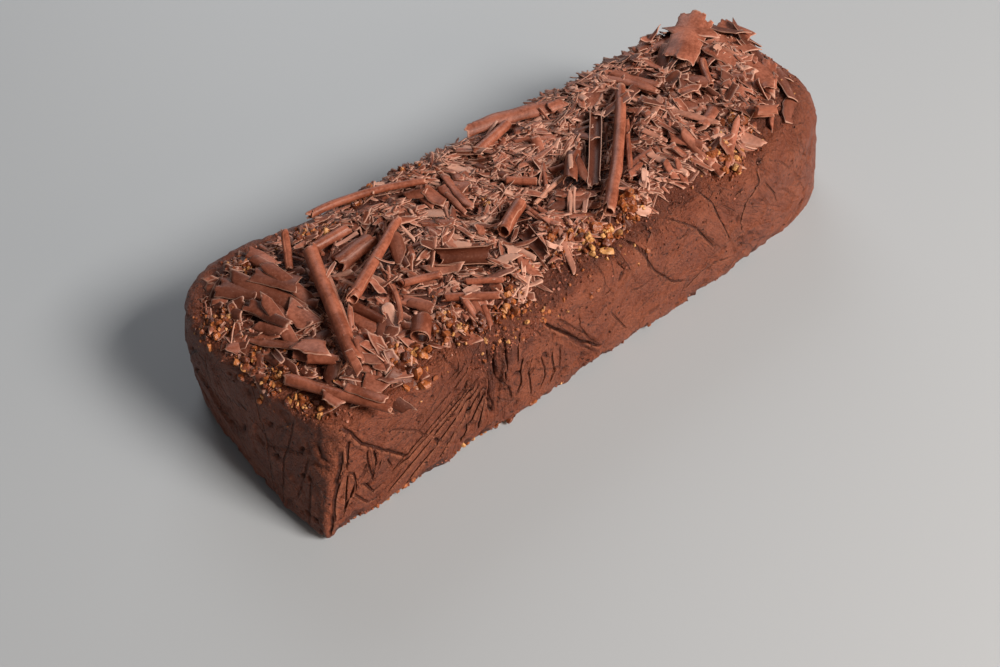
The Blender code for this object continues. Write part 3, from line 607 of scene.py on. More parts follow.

# %% [markdown]
# ## The rolled and curved shavings: their list
# Each large shaving of the plain model is listed by its middle, heading, length, radius and sweep,
# and by its shade where the photograph shows it plainly dark or pale. Some of these shades are
# painted shade, for pieces in shade at the near end or in the dark channel beside a quill, and the
# palest are lightened partly as painted light. The loaf needs the list first, because the heap of
# fine shavings is pressed down under the large ones.

# %% Large shavings
Shaving = namedtuple(
    "Shaving", "name x y heading length radius sweep opening tilt taper bend shade",
    defaults=(1.0, 0, None))
SHAVINGS = [Shaving(*row) for row in (
    ("shaving_near_left", -117, 22, -52, 16, 10, 62, 183, 10, 0.9, 0, 0.25),
    ("shaving_back_corner", -105, 30, -74, 14, 6, 70, 190, 4, 0.9),
    ("shaving_broad", -107, 16, -56, 19, 8, 68, 192, 2, 1.0, 0, 0.3),
    ("shaving_curved", -117, 5, -81, 18, 7, 80, 185, 3, 0.8, 2, 0.4),
    ("shaving_pale", -112, -14, -52, 11, 12, 42, 175, 2, 1.0, 0, 1.0),
    ("roll_corner", -112, -21, -42, 12, 2.0, 240, 150, 0, 0.9),
    ("roll_dark", -89, -14, -70, 15, 2.0, 210, 150, 0, 0.9, 0, 0.15),
    ("roll_red", -80, 24, 2, 18, 2.1, 220, 170, 0, 1.0, 0, 0.5),
    ("roll_wide", -77, 12, 12, 19, 3.0, 250, 185, 0, 1.0, 0, 0.3),
    ("shaving_striped", -73, -19, -59, 12, 5, 60, 180, 3),
    ("roll_end_on", -79, -30, -130, 9, 3.5, 285, 180, 3, 1.0, 0, 0.35),
    ("quill_low", -49, -26, -34, 16, 1.2, 320, 90, 0, 0.9),
    ("quill_left", -66, -12, -21, 16, 1.5, 310, 60, 0, 0.9),
    ("quill_middle", -57, -29, -34, 21, 1.5, 320, -60, 0),
    ("roll_open", -49, -14, -35, 22, 3.3, 195, -35, 2, 1.0, 0, 0.1),
    ("shaving_diagonal", -33, 12, -95, 20, 4, 110, 185, 2, 0.9),
    ("shaving_back_strip", -41, 18, -87, 14, 5, 60, 175, 3),
    ("quill_back_long", -60, 29, -15, 48, 1.6, 320, 120, 0, 0.8, 2.5),
    ("quill_short_up", -96, 27, -115, 16, 1.5, 300, 20, -14),
    ("quill_twisted", -80, -16, -115, 20, 1.1, 280, 30, 0, 0.8, 1.5),
    ("quill_cross", -75, 2, -148, 42, 1.7, 325, 100, 0, 1.3, 0, 0.62),
    ("quill_front", -114.5, -34, -57, 39, 2.3, 320, -90, 0, 0.55, 0, 0.66),
    ("quill_long", -98, -5, -106, 59, 2.7, 330, -80, 0, 1.0, 0, 0.88),
    ("quill_fat", -24, -10, -151, 18, 2.6, 310, 90, 2, 1.0, 0, 0.6),
    ("quill_small", -9, 3, -42, 13, 1.6, 300, 150, 0),
    ("shaving_leaf", -25, -23, -95, 15, 3.4, 130, -40, 0, 0.8, 0, 0.15),
    ("stick_thin", -3, -6, -165, 22, 1.0, 300, 180, 0, 0.9, 0, 0.97),
    ("roll_back_broad", 13, 34.5, -17, 42, 4.0, 140, 175, 1, 0.9, 1.5),
    ("quill_back", -3, 29, 14, 23, 2.1, 300, 160, 2),
    ("roll_half", 10, -4, -134, 18, 2.8, 205, 165, 2, 1.0, 0, 0.3),
    ("roll_dark_strip", 1, -15, -29, 14, 2.2, 160, 190, 0, 1.0, 0, 0.25),
    # roll_trough's near-black shade is painted shade: it lies in the dark channel beside
    # quill_far_long.
    ("roll_trough", 26, 0.5, -133, 48, 2.7, 175, 10, 0, 0.9, 0, 0.02),
    ("quill_thin", 36, -8, -130, 38, 1.2, 300, 20, 0, 0.9),
    ("quill_far_long", 31, -5, -136, 74, 2.2, 330, 95, 1, 1.1, 1.5, 0.74),
    ("shaving_field", 58, -18, -60, 15, 5, 70, 175, 3),
    ("shaving_field_far", 74, -14, 20, 14, 4, 85, 185, 3),
    ("shaving_strips", 66, 20, -80, 26, 4, 100, 182, 3, 0.9, 0, 0.4),
    ("shaving_far_broad", 98, 24, -150, 34, 14, 66, 182, 2, 0.9, 0, 0.6),
    ("rod_far", 91, 5, -123, 17, 1.8, 300, 30, 0, 0.9),
    ("shaving_far_plate", 122, 17, -78, 17, 9, 60, 188, 4),
    ("shaving_far_strip", 113, -10, -137, 21, 6, 70, 188, 4),
    ("roll_far_half", 93, -27, -37, 10, 3.6, 200, -130, 3),
)]
print("large shavings:", len(SHAVINGS))

# %% [markdown]
# ## The loaf
# The real loaf is chocolate cream, set in a tin, turned out and gone over with a palette
# knife. Its outline is straights and arcs. Rings of that outline climb the wall, round
# the top edge and cross the top, so one formula gives the whole body as a grid. The same
# sizes made the plain model, and here the grid is eight times finer round the loaf.

# %% The loaf's sizes
HALF_LENGTH = 143.0 * MM
HALF_WIDTH = 50.0 * MM
HEIGHT = 50.0 * MM
DOME = 2.0 * MM
END_TAPER = 9.5 * MM
SIDE_TAPER = 7.0 * MM
LEAN_POWER = 1.35
NEAR_BOW = 5.5 * MM
NEAR_BOW_REACH = 30.0 * MM
SET_BACK, SET_BACK_LEAN, SET_BACK_Y = 1.5 * MM, 8.0 * MM, 10.0 * MM
SET_BACK_X, SET_BACK_REACH = 70.0 * MM, 45.0 * MM
FAR_NARROWING = 4.0 * MM
FAR_START = 60.0 * MM
CORNER_BULGE = 6.0 * MM
CORNER_BULGE_X = -128.0 * MM
CORNER_BULGE_Y = 38.0 * MM
CORNER_BULGE_WIDTH = 34.0 * MM
FOOT = 1.3 * MM
FOOT_HEIGHT = 4.0 * MM
EDGE_RADIUS = 4.5 * MM
FRONT_EDGE_EXTRA, FRONT_EDGE_X, FRONT_EDGE_REACH = 4.0 * MM, -40.0 * MM, 30.0 * MM
FAR_EDGE_EXTRA, FAR_EDGE_X, FAR_EDGE_REACH = 4.0 * MM, 55.0 * MM, 70.0 * MM
BACK_EDGE_EXTRA, BACK_EDGE_Y, BACK_EDGE_REACH = 3.5 * MM, -10.0 * MM, 40.0 * MM
SPINE_HALF = 92.0 * MM
SPINE_SHARE = 0.05
CORNERS = ((2.5 * MM, 6.5 * MM), (37.0 * MM, 33.0 * MM),
           (36.0 * MM, 30.0 * MM), (26.0 * MM, 20.0 * MM))
HEAP_START = 1.5 * MM
HEAP_OVER_BACK, HEAP_OVER_X, HEAP_OVER_REACH = 6.5 * MM, -90.0 * MM, 50.0 * MM
HEAP_SLOPE = 7.0 * MM
HEAP_DEPTH = 3.4 * MM
LUMP_HEIGHT, LUMP_SEED, LUMPS = 0.9 * MM, 8, 14
BED_DEPTH, BED_MARGIN = 1.6 * MM, 4.0 * MM
FAR_MOUND, FAR_MOUND_X, FAR_MOUND_Y, FAR_MOUND_WIDTH = 3.4 * MM, 110.0 * MM, 22.0 * MM, 26.0 * MM
POINTS_ROUND = 1010
SLOPE_STEP = 0.004
LEVELS = np.concatenate([
    np.linspace(0.0, 1.0, 80), np.linspace(1.0, 2.0, 9)[1:], 2.0 + np.linspace(0.0, 1.0, 10)[1:]])
CROWD_SHARES = (0.0, 0.06, 0.07, 0.20, 0.22, 0.40, 0.44, 0.54, 0.56, 0.88, 0.90, 1.0)
CROWD_WEIGHTS = (2.0, 2.4, 3.4, 3.4, 2.0, 1.8, 1.0, 0.9, 0.5, 0.5, 1.2, 2.0)


# %% The outline
def corner_path(rise):
    """The outline at a share of the height: straights and arcs, from mid near end round by -Y."""
    x_far = HALF_LENGTH - rise * END_TAPER
    x_near = -(HALF_LENGTH - NEAR_BOW) + rise * END_TAPER
    y_side = HALF_WIDTH - rise * SIDE_TAPER
    radii = [low + rise * (high - low) for low, high in CORNERS]
    middles = ((x_near + radii[0], -y_side + radii[0]), (x_far - radii[1], -y_side + radii[1]),
               (x_far - radii[2], y_side - radii[2]), (x_near + radii[3], y_side - radii[3]))
    steps = np.linspace(0.0, 1.0, 25)
    arcs = []
    for quarter, ((x, y), radius) in enumerate(zip(middles, radii)):
        turn = np.radians(180.0 + 90.0 * quarter + 90.0 * steps)
        arcs.append(np.stack([x + radius * np.cos(turn), y + radius * np.sin(turn)], axis=1))
    start = np.array([[x_near, 0.0]])
    pieces = [start + (arcs[0][0] - start) * steps[:, None], arcs[0]]
    for before, after in zip(arcs[:-1], arcs[1:]):
        pieces += [before[-1] + (after[0] - before[-1]) * steps[:, None], after]
    pieces.append(arcs[3][-1] + (start - arcs[3][-1]) * steps[:, None])
    path = np.concatenate(pieces)
    bow_starts = HALF_LENGTH - 3 * NEAR_BOW - NEAR_BOW_REACH
    near = smooth((-path[:, 0] - bow_starts) / NEAR_BOW_REACH)
    path[:, 0] -= NEAR_BOW * near * (1.0 - (path[:, 1] / HALF_WIDTH) ** 2)
    beside = smooth((-path[:, 0] - SET_BACK_X) / SET_BACK_REACH)
    towards_viewer = np.clip((SET_BACK_Y - path[:, 1]) / (SET_BACK_Y + HALF_WIDTH), 0.0, 1.0)
    path[:, 0] += (SET_BACK + rise * SET_BACK_LEAN) * beside * towards_viewer
    far = smooth((path[:, 0] - FAR_START) / FAR_START)
    path[:, 1] += FAR_NARROWING * far * 0.5 * (1.0 - path[:, 1] / HALF_WIDTH)
    return path


BASE_PATH = corner_path(0.0)
PATH_LENGTHS = np.linalg.norm(np.diff(BASE_PATH, axis=0), axis=1)
SHARES = np.concatenate([[0.0], np.cumsum(PATH_LENGTHS)]) / PATH_LENGTHS.sum()
GIRTH = PATH_LENGTHS.sum()
print("girth, mm:", round(GIRTH / MM, 1))


def way_round(distance):
    """A distance along the girth taken the shorter way round, from minus half to plus half."""
    return (distance + 0.5 * GIRTH) % GIRTH - 0.5 * GIRTH


fine_steps = np.linspace(0.0, 1.0, 4001)
crowding = np.interp(fine_steps, CROWD_SHARES, CROWD_WEIGHTS)
shares_so_far = np.concatenate([[0.0], np.cumsum(0.5 * (crowding[1:] + crowding[:-1]))])
AROUND = np.interp(np.arange(POINTS_ROUND) / POINTS_ROUND,
                   shares_so_far / shares_so_far[-1], fine_steps)
print("closest points round, mm:", round(float(np.diff(AROUND).min()) * GIRTH / MM, 2))


def ring(around, rise, inset):
    """Points of the outline at a rise, and their outward directions, moved in by `inset`."""
    path = corner_path(rise)

    def at(share):
        return np.stack([np.interp(share % 1.0, SHARES, path[:, axis]) for axis in (0, 1)], axis=1)

    along = at(around + SLOPE_STEP) - at(around - SLOPE_STEP)
    along /= np.linalg.norm(along, axis=1)[:, None]
    outward = np.stack([along[:, 1], -along[:, 0]], axis=1)
    return at(around) - outward * np.reshape(inset, (-1, 1)), outward


def edge_radius(around):
    """Rounding of the top edge, larger at the far end and along the back."""
    base, _ = ring(around, 0.0, 0.0)
    far = smooth((base[:, 0] - FAR_EDGE_X) / FAR_EDGE_REACH)
    back = smooth((base[:, 1] - BACK_EDGE_Y) / BACK_EDGE_REACH)
    half_way = smooth((base[:, 0] - FRONT_EDGE_X) / FRONT_EDGE_REACH)
    front = FRONT_EDGE_EXTRA * half_way * (1.0 - back)
    return EDGE_RADIUS + front + FAR_EDGE_EXTRA * far + BACK_EDGE_EXTRA * back * (1.0 - far)


def corner_bulge(around, z):
    """How far the cream swells out by the near end's back corner, fully near the top."""
    base, _ = ring(around, 0.0, 0.0)
    away = np.hypot(base[:, 0] - CORNER_BULGE_X, base[:, 1] - CORNER_BULGE_Y)
    return CORNER_BULGE * np.exp(-(away / CORNER_BULGE_WIDTH) ** 2) * smooth(z / (0.75 * HEIGHT))


# %% The heap on top
def lumps(x, y):
    """A soft uneven field of about -1 to 1: seeded waves 9 to 26 mm long."""
    rng = random.Random(LUMP_SEED)
    field = np.zeros(np.shape(x))
    for _ in range(LUMPS):
        wavelength = rng.uniform(9.0, 26.0) * MM
        turn = rng.uniform(0.0, pi)
        phase = rng.uniform(0.0, 2 * pi)
        along = x * cos(turn) + y * sin(turn)
        field = field + np.sin(2 * pi * along / wavelength + phase)
    return field / sqrt(LUMPS)


def footprint_distance(x, y):
    """Distance from each place to the nearest large shaving's footprint."""
    nearest = np.full(np.shape(x), 1.0)
    for item in SHAVINGS:
        turn = radians(item.heading)
        dx = x - item.x * MM
        dy = y - item.y * MM
        along = np.abs(dx * cos(turn) + dy * sin(turn))
        aside = np.abs(-dx * sin(turn) + dy * cos(turn))
        half_width = item.radius * MM * sin(radians(min(item.sweep, 180.0) / 2))
        beyond = np.maximum(along - 0.5 * item.length * MM, 0.0)
        nearest = np.minimum(nearest, np.hypot(beyond, np.maximum(aside - half_width, 0.0)))
    return nearest


def heap_height(x, y):
    """Depth of the heap: uneven, pressed down under the large shavings, high at the far end."""
    pressed = smooth(1.0 - footprint_distance(x, y) / BED_MARGIN)
    away = np.hypot(x - FAR_MOUND_X, y - FAR_MOUND_Y)
    mound = FAR_MOUND * np.exp(-(away / FAR_MOUND_WIDTH) ** 2)
    return (HEAP_DEPTH - BED_DEPTH * pressed + mound
            + LUMP_HEIGHT * lumps(x, y) * (1.0 - 0.7 * pressed))


# %% [markdown]
# ## The knife's strokes
# A stroke is a flat facet with a soft border. It has a middle, a direction, a size and a
# level, and where strokes cross the later one wins. The list starts with the plain
# model's strokes, in the same seeded order, and ends with those that the photograph shows
# plainly. Small strokes, burrs, cracks and pits come on top of them, finer than the plain
# model can hold.

# %% The list of strokes
Stroke = namedtuple(
    "Stroke", "place height turn half_length half_width level tilt slope softness burr bow")
SideStroke = namedtuple("SideStroke", "x height turn half_length half_width level")
STROKES, STROKE_SEED, LOOKS_SEED, STROKE_DEPTH = 150, 21, 4, 0.9 * MM
DEEPEST, PROUDEST = 2.4 * MM, 1.2 * MM
SIDE_STROKES = [SideStroke(*row) for row in (
    (-95, 25, 50, 30, 20, 0.4), (-105, 38, 10, 16, 9, 0.7), (-115, 14, 40, 16, 9, -0.7),
    (-67, 33, 88, 20, 4, 1.2), (-60, 30, 90, 22, 4, -1.7), (-32, 36, -49, 16, 5, 0.8),
    (-24, 25, -49, 19, 4, -1.8), (8, 46, -60, 16, 6, 1.2), (33, 27, 20, 15, 11, -0.6),
    (47, 37, -48, 20, 4, 1.2), (55, 42, -45, 14, 6, -1.0), (74, 30, -30, 18, 10, 0.3),
)]


def side_place(x, z=0.0):
    """Where a point of the viewer's side, given by its x and height, lies along the girth."""
    path = corner_path((max(z, 0.0) / HEIGHT) ** LEAN_POWER)
    side = BASE_PATH[:, 1] < -0.9 * HALF_WIDTH
    return float(np.interp(x, path[side, 0], SHARES[side] * GIRTH))


def listed_stroke(item, tilt, softness, burr, bow):
    """A stroke of the viewer's side, from its listed middle, turn, half sizes and level."""
    return Stroke(side_place(item.x * MM, item.height * MM), item.height * MM,
                  radians(item.turn), item.half_length * MM, item.half_width * MM,
                  item.level * MM, tilt, 0.0, softness, burr * MM, bow)


def plain_strokes():
    """The plain model's strokes, drawn in the same order."""
    rng = random.Random(STROKE_SEED)
    looks = random.Random(LOOKS_SEED)
    strokes = []
    for _ in range(STROKES):
        place = rng.uniform(0.0, GIRTH)
        height = rng.uniform(-5.0, 68.0) * MM
        turn = rng.gauss(0.0, 0.45) + (pi / 4 if rng.random() < 0.35 else 0.0)
        half_length = rng.uniform(13.0, 34.0) * MM
        half_width = rng.uniform(5.0, 11.0) * MM
        level = rng.uniform(-1.0, 1.0) * STROKE_DEPTH
        tilt = rng.gauss(0.0, 0.055)
        slope = rng.gauss(0.0, 0.022)
        strokes.append(Stroke(place, height, turn, half_length, half_width, level, tilt, slope,
                              looks.uniform(0.05, 0.13), looks.uniform(0.0, 0.25) * MM,
                              looks.gauss(0.0, 4.0)))
    for item in SIDE_STROKES:
        strokes.append(listed_stroke(item, 0.0, 0.18, 0.2, looks.gauss(0.0, 3.0)))
    return strokes


FAN_MIDDLE = 0.55       # a fan's strokes are centred this share of the way to their ends


def fan_strokes(apex, ends, half_width, level_step):
    """Narrow strokes that spread from one point of the side, each laid over the one before."""
    strokes = []
    for count, (x, height) in enumerate(ends):
        start = side_place(apex[0] * MM, apex[1] * MM)
        dx = side_place(x * MM, height * MM) - start
        dy = (height - apex[1]) * MM
        middle = start + FAN_MIDDLE * dx
        strokes.append(Stroke(middle, apex[1] * MM + FAN_MIDDLE * dy, atan2(dy, dx),
                              0.5 * hypot(dx, dy), half_width * MM,
                              (0.25 * (-1) ** count * level_step) * MM, 0.07, 0.0,
                              0.15, 0.12 * MM, 5.0))
    return strokes


def small_strokes(count, seed):
    """Seeded short strokes over the whole wall."""
    rng = random.Random(seed)
    strokes = []
    for _ in range(count):
        strokes.append(Stroke(
            rng.uniform(0.0, GIRTH), rng.uniform(1.0, 56.0) * MM,
            rng.gauss(0.1, 0.55) + (pi / 4 if rng.random() < 0.3 else 0.0),
            rng.uniform(4.0, 13.0) * MM, rng.uniform(1.2, 4.0) * MM,
            rng.uniform(-0.45, 0.35) * MM, rng.gauss(0.0, 0.09), rng.gauss(0.0, 0.03),
            rng.uniform(0.06, 0.18), rng.uniform(0.05, 0.28) * MM, rng.gauss(0.0, 8.0)))
    return strokes


FAR_FACETS = [SideStroke(*row) for row in (
    (50, 24, -50, 10, 5, -0.7), (62, 42, -60, 11, 5, 1.1), (72, 30, -35, 12, 6, -0.7),
    (84, 36, -55, 13, 6, 1.0), (78, 16, -20, 10, 4, 0.9), (95, 22, -40, 11, 5, -0.8),
    (104, 38, -70, 10, 5, 0.9), (112, 26, -60, 9, 5, 0.8), (66, 20, -65, 9, 4, 0.8))]
LARGE_STROKES = plain_strokes()
SEEDED_STROKES = 230
SMALL_STROKES = (
    small_strokes(SEEDED_STROKES, 33)
    + fan_strokes((-62, 52), ((-97, 44), (-104, 33), (-110, 22), (-113, 10), (-108, 3),
                              (-99, 2), (-91, 3), (-83, 2)), 3.4, 0.6)
    + fan_strokes((-30, 40), ((-10, 8), (-17, 6), (-24, 5), (-31, 6), (-38, 8)), 2.4, 0.9)
    + fan_strokes((-58, 50), ((-70, 6), (-66, 5), (-62, 5), (-57, 6), (-52, 9)), 1.9, 2.4)
    + [listed_stroke(item, 0.04, 0.06, 0.30, 2.0) for item in FAR_FACETS])
FAN_STROKES = len(SMALL_STROKES) - SEEDED_STROKES
print("strokes:", len(LARGE_STROKES), "large and", len(SMALL_STROKES), "small")


# %% Relief of the strokes
def stroke_frame(stroke, place, height):
    """Distances along and across a stroke, the stroke's bow taken out."""
    aside = way_round(place - stroke.place)
    up = height - stroke.height
    along = aside * cos(stroke.turn) + up * sin(stroke.turn)
    over = -aside * sin(stroke.turn) + up * cos(stroke.turn)
    return along, over + stroke.bow * along ** 2


def lay_strokes(strokes, place, height, relief, rough, strength):
    """Lay strokes over a relief: inside one, the relief moves to its facet, with a burr round it."""
    for stroke in strokes:
        along, over = stroke_frame(stroke, place, height)
        near = (np.abs(along) < 1.2 * stroke.half_length) & (np.abs(over) < 1.3 * stroke.half_width)
        u = along[near] / stroke.half_length
        v = over[near] / stroke.half_width
        reach = (u ** 4 + v ** 4) ** 0.25 + 0.05 * rough[near]
        mask = smooth((1.0 - reach) / stroke.softness)
        facet = stroke.level + stroke.tilt * over[near] + stroke.slope * along[near]
        inside = relief[near] + strength * mask * (facet - relief[near])
        burr = stroke.burr * np.exp(-((reach - 0.97) / 0.06) ** 2) * (0.5 + 0.5 * rough[near])
        relief[near] = inside + burr
    return relief


def top_strokes(strokes, place, height):
    """Number of the last stroke that covers each place, or -1."""
    top = np.full(place.shape, -1)
    for number, stroke in enumerate(strokes):
        along, over = stroke_frame(stroke, place, height)
        reach = (along / stroke.half_length) ** 4 + (over / stroke.half_width) ** 4
        top[reach < 0.9] = number
    return top


# %% Cracks, slots and pits
# Side grooves are listed by x and height, the near end's by y and height, and the corner's
# by their place along the girth and height, all in millimetres.
Groove = namedtuple("Groove", "half_width depth points")


def grooves(*rows):
    """Grooves from rows of half width, depth and then the two numbers of each point."""
    return [Groove(row[0], row[1], tuple(zip(row[2::2], row[3::2]))) for row in rows]


SIDE_GROOVES = grooves(
    (0.72, 0.95, -67, 36, -80, 28, -94, 21, -104, 16),
    (0.7, 0.95, -68, 34, -81, 25, -94, 17, -102, 12, -110, 7),
    (0.74, 1.0, -67, 32, -79, 22, -89, 14, -98, 8, -103, 4),
    (0.74, 1.0, -66, 30, -76, 19, -83, 12, -88, 7), (0.72, 1.0, -65, 28, -72, 17, -76, 11, -78, 7),
    (0.7, 1.0, -64, 27, -68, 17, -70, 9), (0.66, 0.9, -63, 26, -64, 17, -62, 11),
    (0.6, 0.7, -72, 35, -84, 29, -97, 22, -107, 15),
    (0.34, 0.6, -68, 47, -71, 42, -75, 39, -78, 37), (0.32, 0.6, -70, 48, -74, 44, -77, 41),
    (0.32, 0.5, -73, 49, -75, 45, -79, 43), (0.32, 0.5, -80, 48, -81, 45),
    (0.32, 0.5, -75, 39, -86, 33, -93, 28),
    (0.62, 1.2, -118, 50, -116, 45, -114, 39, -109, 32, -100, 19),
    (0.4, 1.0, -118, 44, -120, 38, -122, 31), (0.36, 0.8, -113, 35, -114, 30, -117, 25),
    (0.4, 1.0, -111, 33, -111, 28, -113, 21, -115, 16), (0.36, 0.8, -114, 30, -114, 18),
    (0.34, 0.7, -109, 26, -111, 22), (0.34, 0.8, -107, 24, -106, 18),
    (0.45, 1.2, -122, 29, -124, 23, -127, 11), (0.45, 1.2, -120, 24, -125, 15, -128, 9),
    (0.4, 0.9, -122, 30, -120, 28, -120, 23, -123, 14),
    (0.36, 0.9, -119, 21, -117, 18, -115, 12, -111, 13), (0.36, 0.8, -122, 17, -118, 8, -113, 7),
    (0.32, 0.5, -105, 38, -100, 35, -94, 29, -91, 23), (0.9, 1.9, -71, 37, -74, 33),
    (0.9, 1.6, -88, 18, -86, 16), (0.7, 1.4, -82, 25, -79, 25),
    (0.7, 1.6, -62, 46, -63, 35, -63, 22), (0.7, 1.5, -58, 46, -59, 37, -59, 28),
    (0.6, 1.2, -54, 46, -54, 33, -56, 25), (0.45, 0.8, -63, 22, -62, 16, -63, 12),
    (0.45, 0.6, -59, 28, -55, 22, -54, 15, -60, 15),
    (0.45, 0.7, -47, 31, -49, 25, -49, 19, -52, 14),
    (0.45, 0.7, -43, 28, -45, 22, -45, 17, -45, 8), (0.45, 0.7, -39, 26, -38, 19, -38, 14, -41, 8),
    (0.45, 0.7, -34, 25, -34, 19, -33, 13, -36, 8), (0.45, 0.7, -30, 25, -30, 18, -31, 12),
    (0.7, 1.7, -36, 41, -33, 36, -25, 26, -19, 18, -10, 10), (0.6, 0.6, -25, 24, -14, 10),
    (0.55, 2.2, -21, 36, -17, 38), (0.7, 2.2, -8, 36, -5, 37), (0.8, 2.2, 0, 47, 2, 42),
    (0.6, 1.8, -23, 27, -21, 28), (0.6, 1.8, -21, 22, -19, 23), (0.6, 1.8, -34, 14, -32, 14),
    (0.5, 0.7, -47, 44, -50, 30), (0.45, 0.6, -20, 34, -20, 28, -15, 17, -11, 12),
    (0.4, 0.5, -9, 53, -8, 45, -9, 37), (0.6, 1.0, 8, 50, 11, 45, 18, 32, 28, 20, 35, 16),
    (0.5, 0.6, 6, 29, 10, 27, 16, 28), (0.8, 1.3, 46, 55, 53, 38, 60, 23),
    (0.7, 0.9, 27, 52, 40, 40, 52, 23), (0.7, 0.9, 75, 49, 74, 40, 68, 36, 66, 24),
    (0.7, 1.0, 6, 55, 13, 44, 14, 36), (0.9, 1.3, 18, 54, 18, 50, 14, 47),
    (1.1, 2.2, 31, 40, 34, 40), (0.8, 1.4, 42, 42, 45, 40), (1.3, 2.2, 76, 49, 82, 51),
    (0.9, 1.6, 60, 44, 66, 46), (0.6, 0.7, 80, 40, 88, 29, 92, 22), (0.5, 0.5, 88, 46, 98, 36),
    (0.6, 0.8, 36, 10, 48, 16, 62, 12), (0.5, 0.7, -4, 24, 4, 10),
    (0.5, 0.5, 104, 42, 112, 36, 115, 27))
END_GROOVES = grooves(
    (0.5, 0.9, -30, 45, -27, 24, -29, 4), (0.5, 0.9, -9, 48, -20, 22, -24, 3),
    (0.5, 0.7, 14, 42, 8, 24, 6, 8), (0.6, 1.0, 26, 46, 31, 22, 28, 3), (0.5, 0.9, 36, 44, 37, 10),
    (0.5, 0.8, -38, 34, -35, 12), (1.2, 2.0, -43, 38, -41, 41),
    (0.5, 0.7, -2, 34, -14, 30, -27, 24), (0.4, 0.7, 20, 30, 8, 24, -6, 12),
    (0.6, 1.0, -40, 24, -42, 4))
END_SOFTER = 0.5            # the near end's grooves are this share of their listed depth
END_LEAN = 0.0028           # share by which the near end narrows for each millimetre of height
CORNER_GROOVES = grooves(
    (1.0, 1.3, 50.9, 42, 51.5, 33, 50.7, 26), (1.0, 1.3, 51.7, 29, 51.1, 20, 51.6, 12),
    (1.0, 1.3, 50.9, 15, 51.3, 8, 50.7, 3))
END_CORNER_RIDGE, END_CORNER_PLACE, END_CORNER_WIDTH = 0.5 * MM, 49.5 * MM, 1.1 * MM


BACK_LINES, BACK_SEED, BACK_PLACES = 26, 91, (385.0, 705.0)


def back_grooves():
    """Seeded knife lines for the back and the far end, as places along the girth and heights."""
    rng = random.Random(BACK_SEED)
    made = []
    for _ in range(BACK_LINES):
        place = rng.uniform(*BACK_PLACES)
        height = rng.uniform(8.0, 44.0)
        turn = rng.choice((-1, 1)) * rng.gauss(0.9, 0.5)
        half = rng.uniform(5.0, 13.0)
        dx, dz = half * cos(turn), half * sin(turn)
        middle = (place + rng.gauss(0.0, 1.5), height)
        line = ((place - dx, height - dz), middle, (place + dx, height + dz))
        depth = rng.uniform(0.9, 1.8)
        made.append(Groove(2.0, depth, tuple((a, min(max(b, 3.0), 50.0)) for a, b in line)))
    return made


def lip_below(path):
    """The path turned so that its positive side, where the lip rises, is the lower one."""
    path = np.array(path)
    return path if way_round(path[-1, 0] - path[0, 0]) > 0.0 else path[::-1]


def groove_paths():
    """Each groove with its path: places along the girth and heights, in metres."""
    for groove in SIDE_GROOVES:
        yield groove, lip_below([(side_place(x * MM, z * MM), z * MM) for x, z in groove.points])
    for groove in END_GROOVES:
        path = [((-y * MM / (1.0 - END_LEAN * z)) % GIRTH, z * MM) for y, z in groove.points]
        yield groove._replace(depth=END_SOFTER * groove.depth), lip_below(path)
    for groove in CORNER_GROOVES + back_grooves():
        yield groove, lip_below([(place * MM % GIRTH, z * MM) for place, z in groove.points])


def score_paths():
    """Seeded scratches, one to a large stroke, as grooves too fine to move the surface."""
    rng = random.Random(SCRATCH_SEED)
    for stroke in LARGE_STROKES:
        middle = rng.uniform(-0.6, 0.6) * stroke.half_length
        half = rng.uniform(0.12, 0.5) * stroke.half_length
        over = rng.uniform(-0.9, 0.9) * stroke.half_width
        swing = rng.gauss(0.0, 0.12) * half
        along = np.array([middle - half, middle, middle + half])
        aside = np.array([over - swing, over + 0.5 * swing, over + swing])
        places = stroke.place + along * cos(stroke.turn) - aside * sin(stroke.turn)
        heights = stroke.height + along * sin(stroke.turn) + aside * cos(stroke.turn)
        path = lip_below(np.stack([places % GIRTH, heights], axis=1))
        yield Groove(0.2, rng.uniform(0.2, 0.7), ()), path


def from_path(path, place, height):
    """Distance from a path, positive on one side of it, and how far its nearer end is.

    The distance is to the nearest spot of the nearest straight part, and its sign is that of
    the cross product of the way there and the part's own direction.
    """
    length = np.linalg.norm(np.diff(path, axis=0), axis=1)
    so_far = np.concatenate([[0.0], np.cumsum(length)])
    side = np.full(place.shape, 1.0)
    along = np.zeros(place.shape)
    for start, end, before in zip(path[:-1], path[1:], so_far):
        run = np.array([way_round(end[0] - start[0]), end[1] - start[1]])
        aside = way_round(place - start[0])
        above = height - start[1]
        share = np.clip((aside * run[0] + above * run[1]) / (run @ run), 0.0, 1.0)
        away = np.hypot(aside - share * run[0], above - share * run[1])
        way = np.where(aside * run[1] - above * run[0] > 0.0, 1.0, -1.0)
        nearer = away < np.abs(side)
        side = np.where(nearer, away * way, side)
        along = np.where(nearer, before + share * np.hypot(*run), along)
    return side, np.minimum(along, so_far[-1] - along)


SCORE_REACH = 3.0 * MM                      # how far from a line its score is known
SCRATCH_FINER, SCRATCH_SEED = 1.7, 61       # times finer than a groove's line


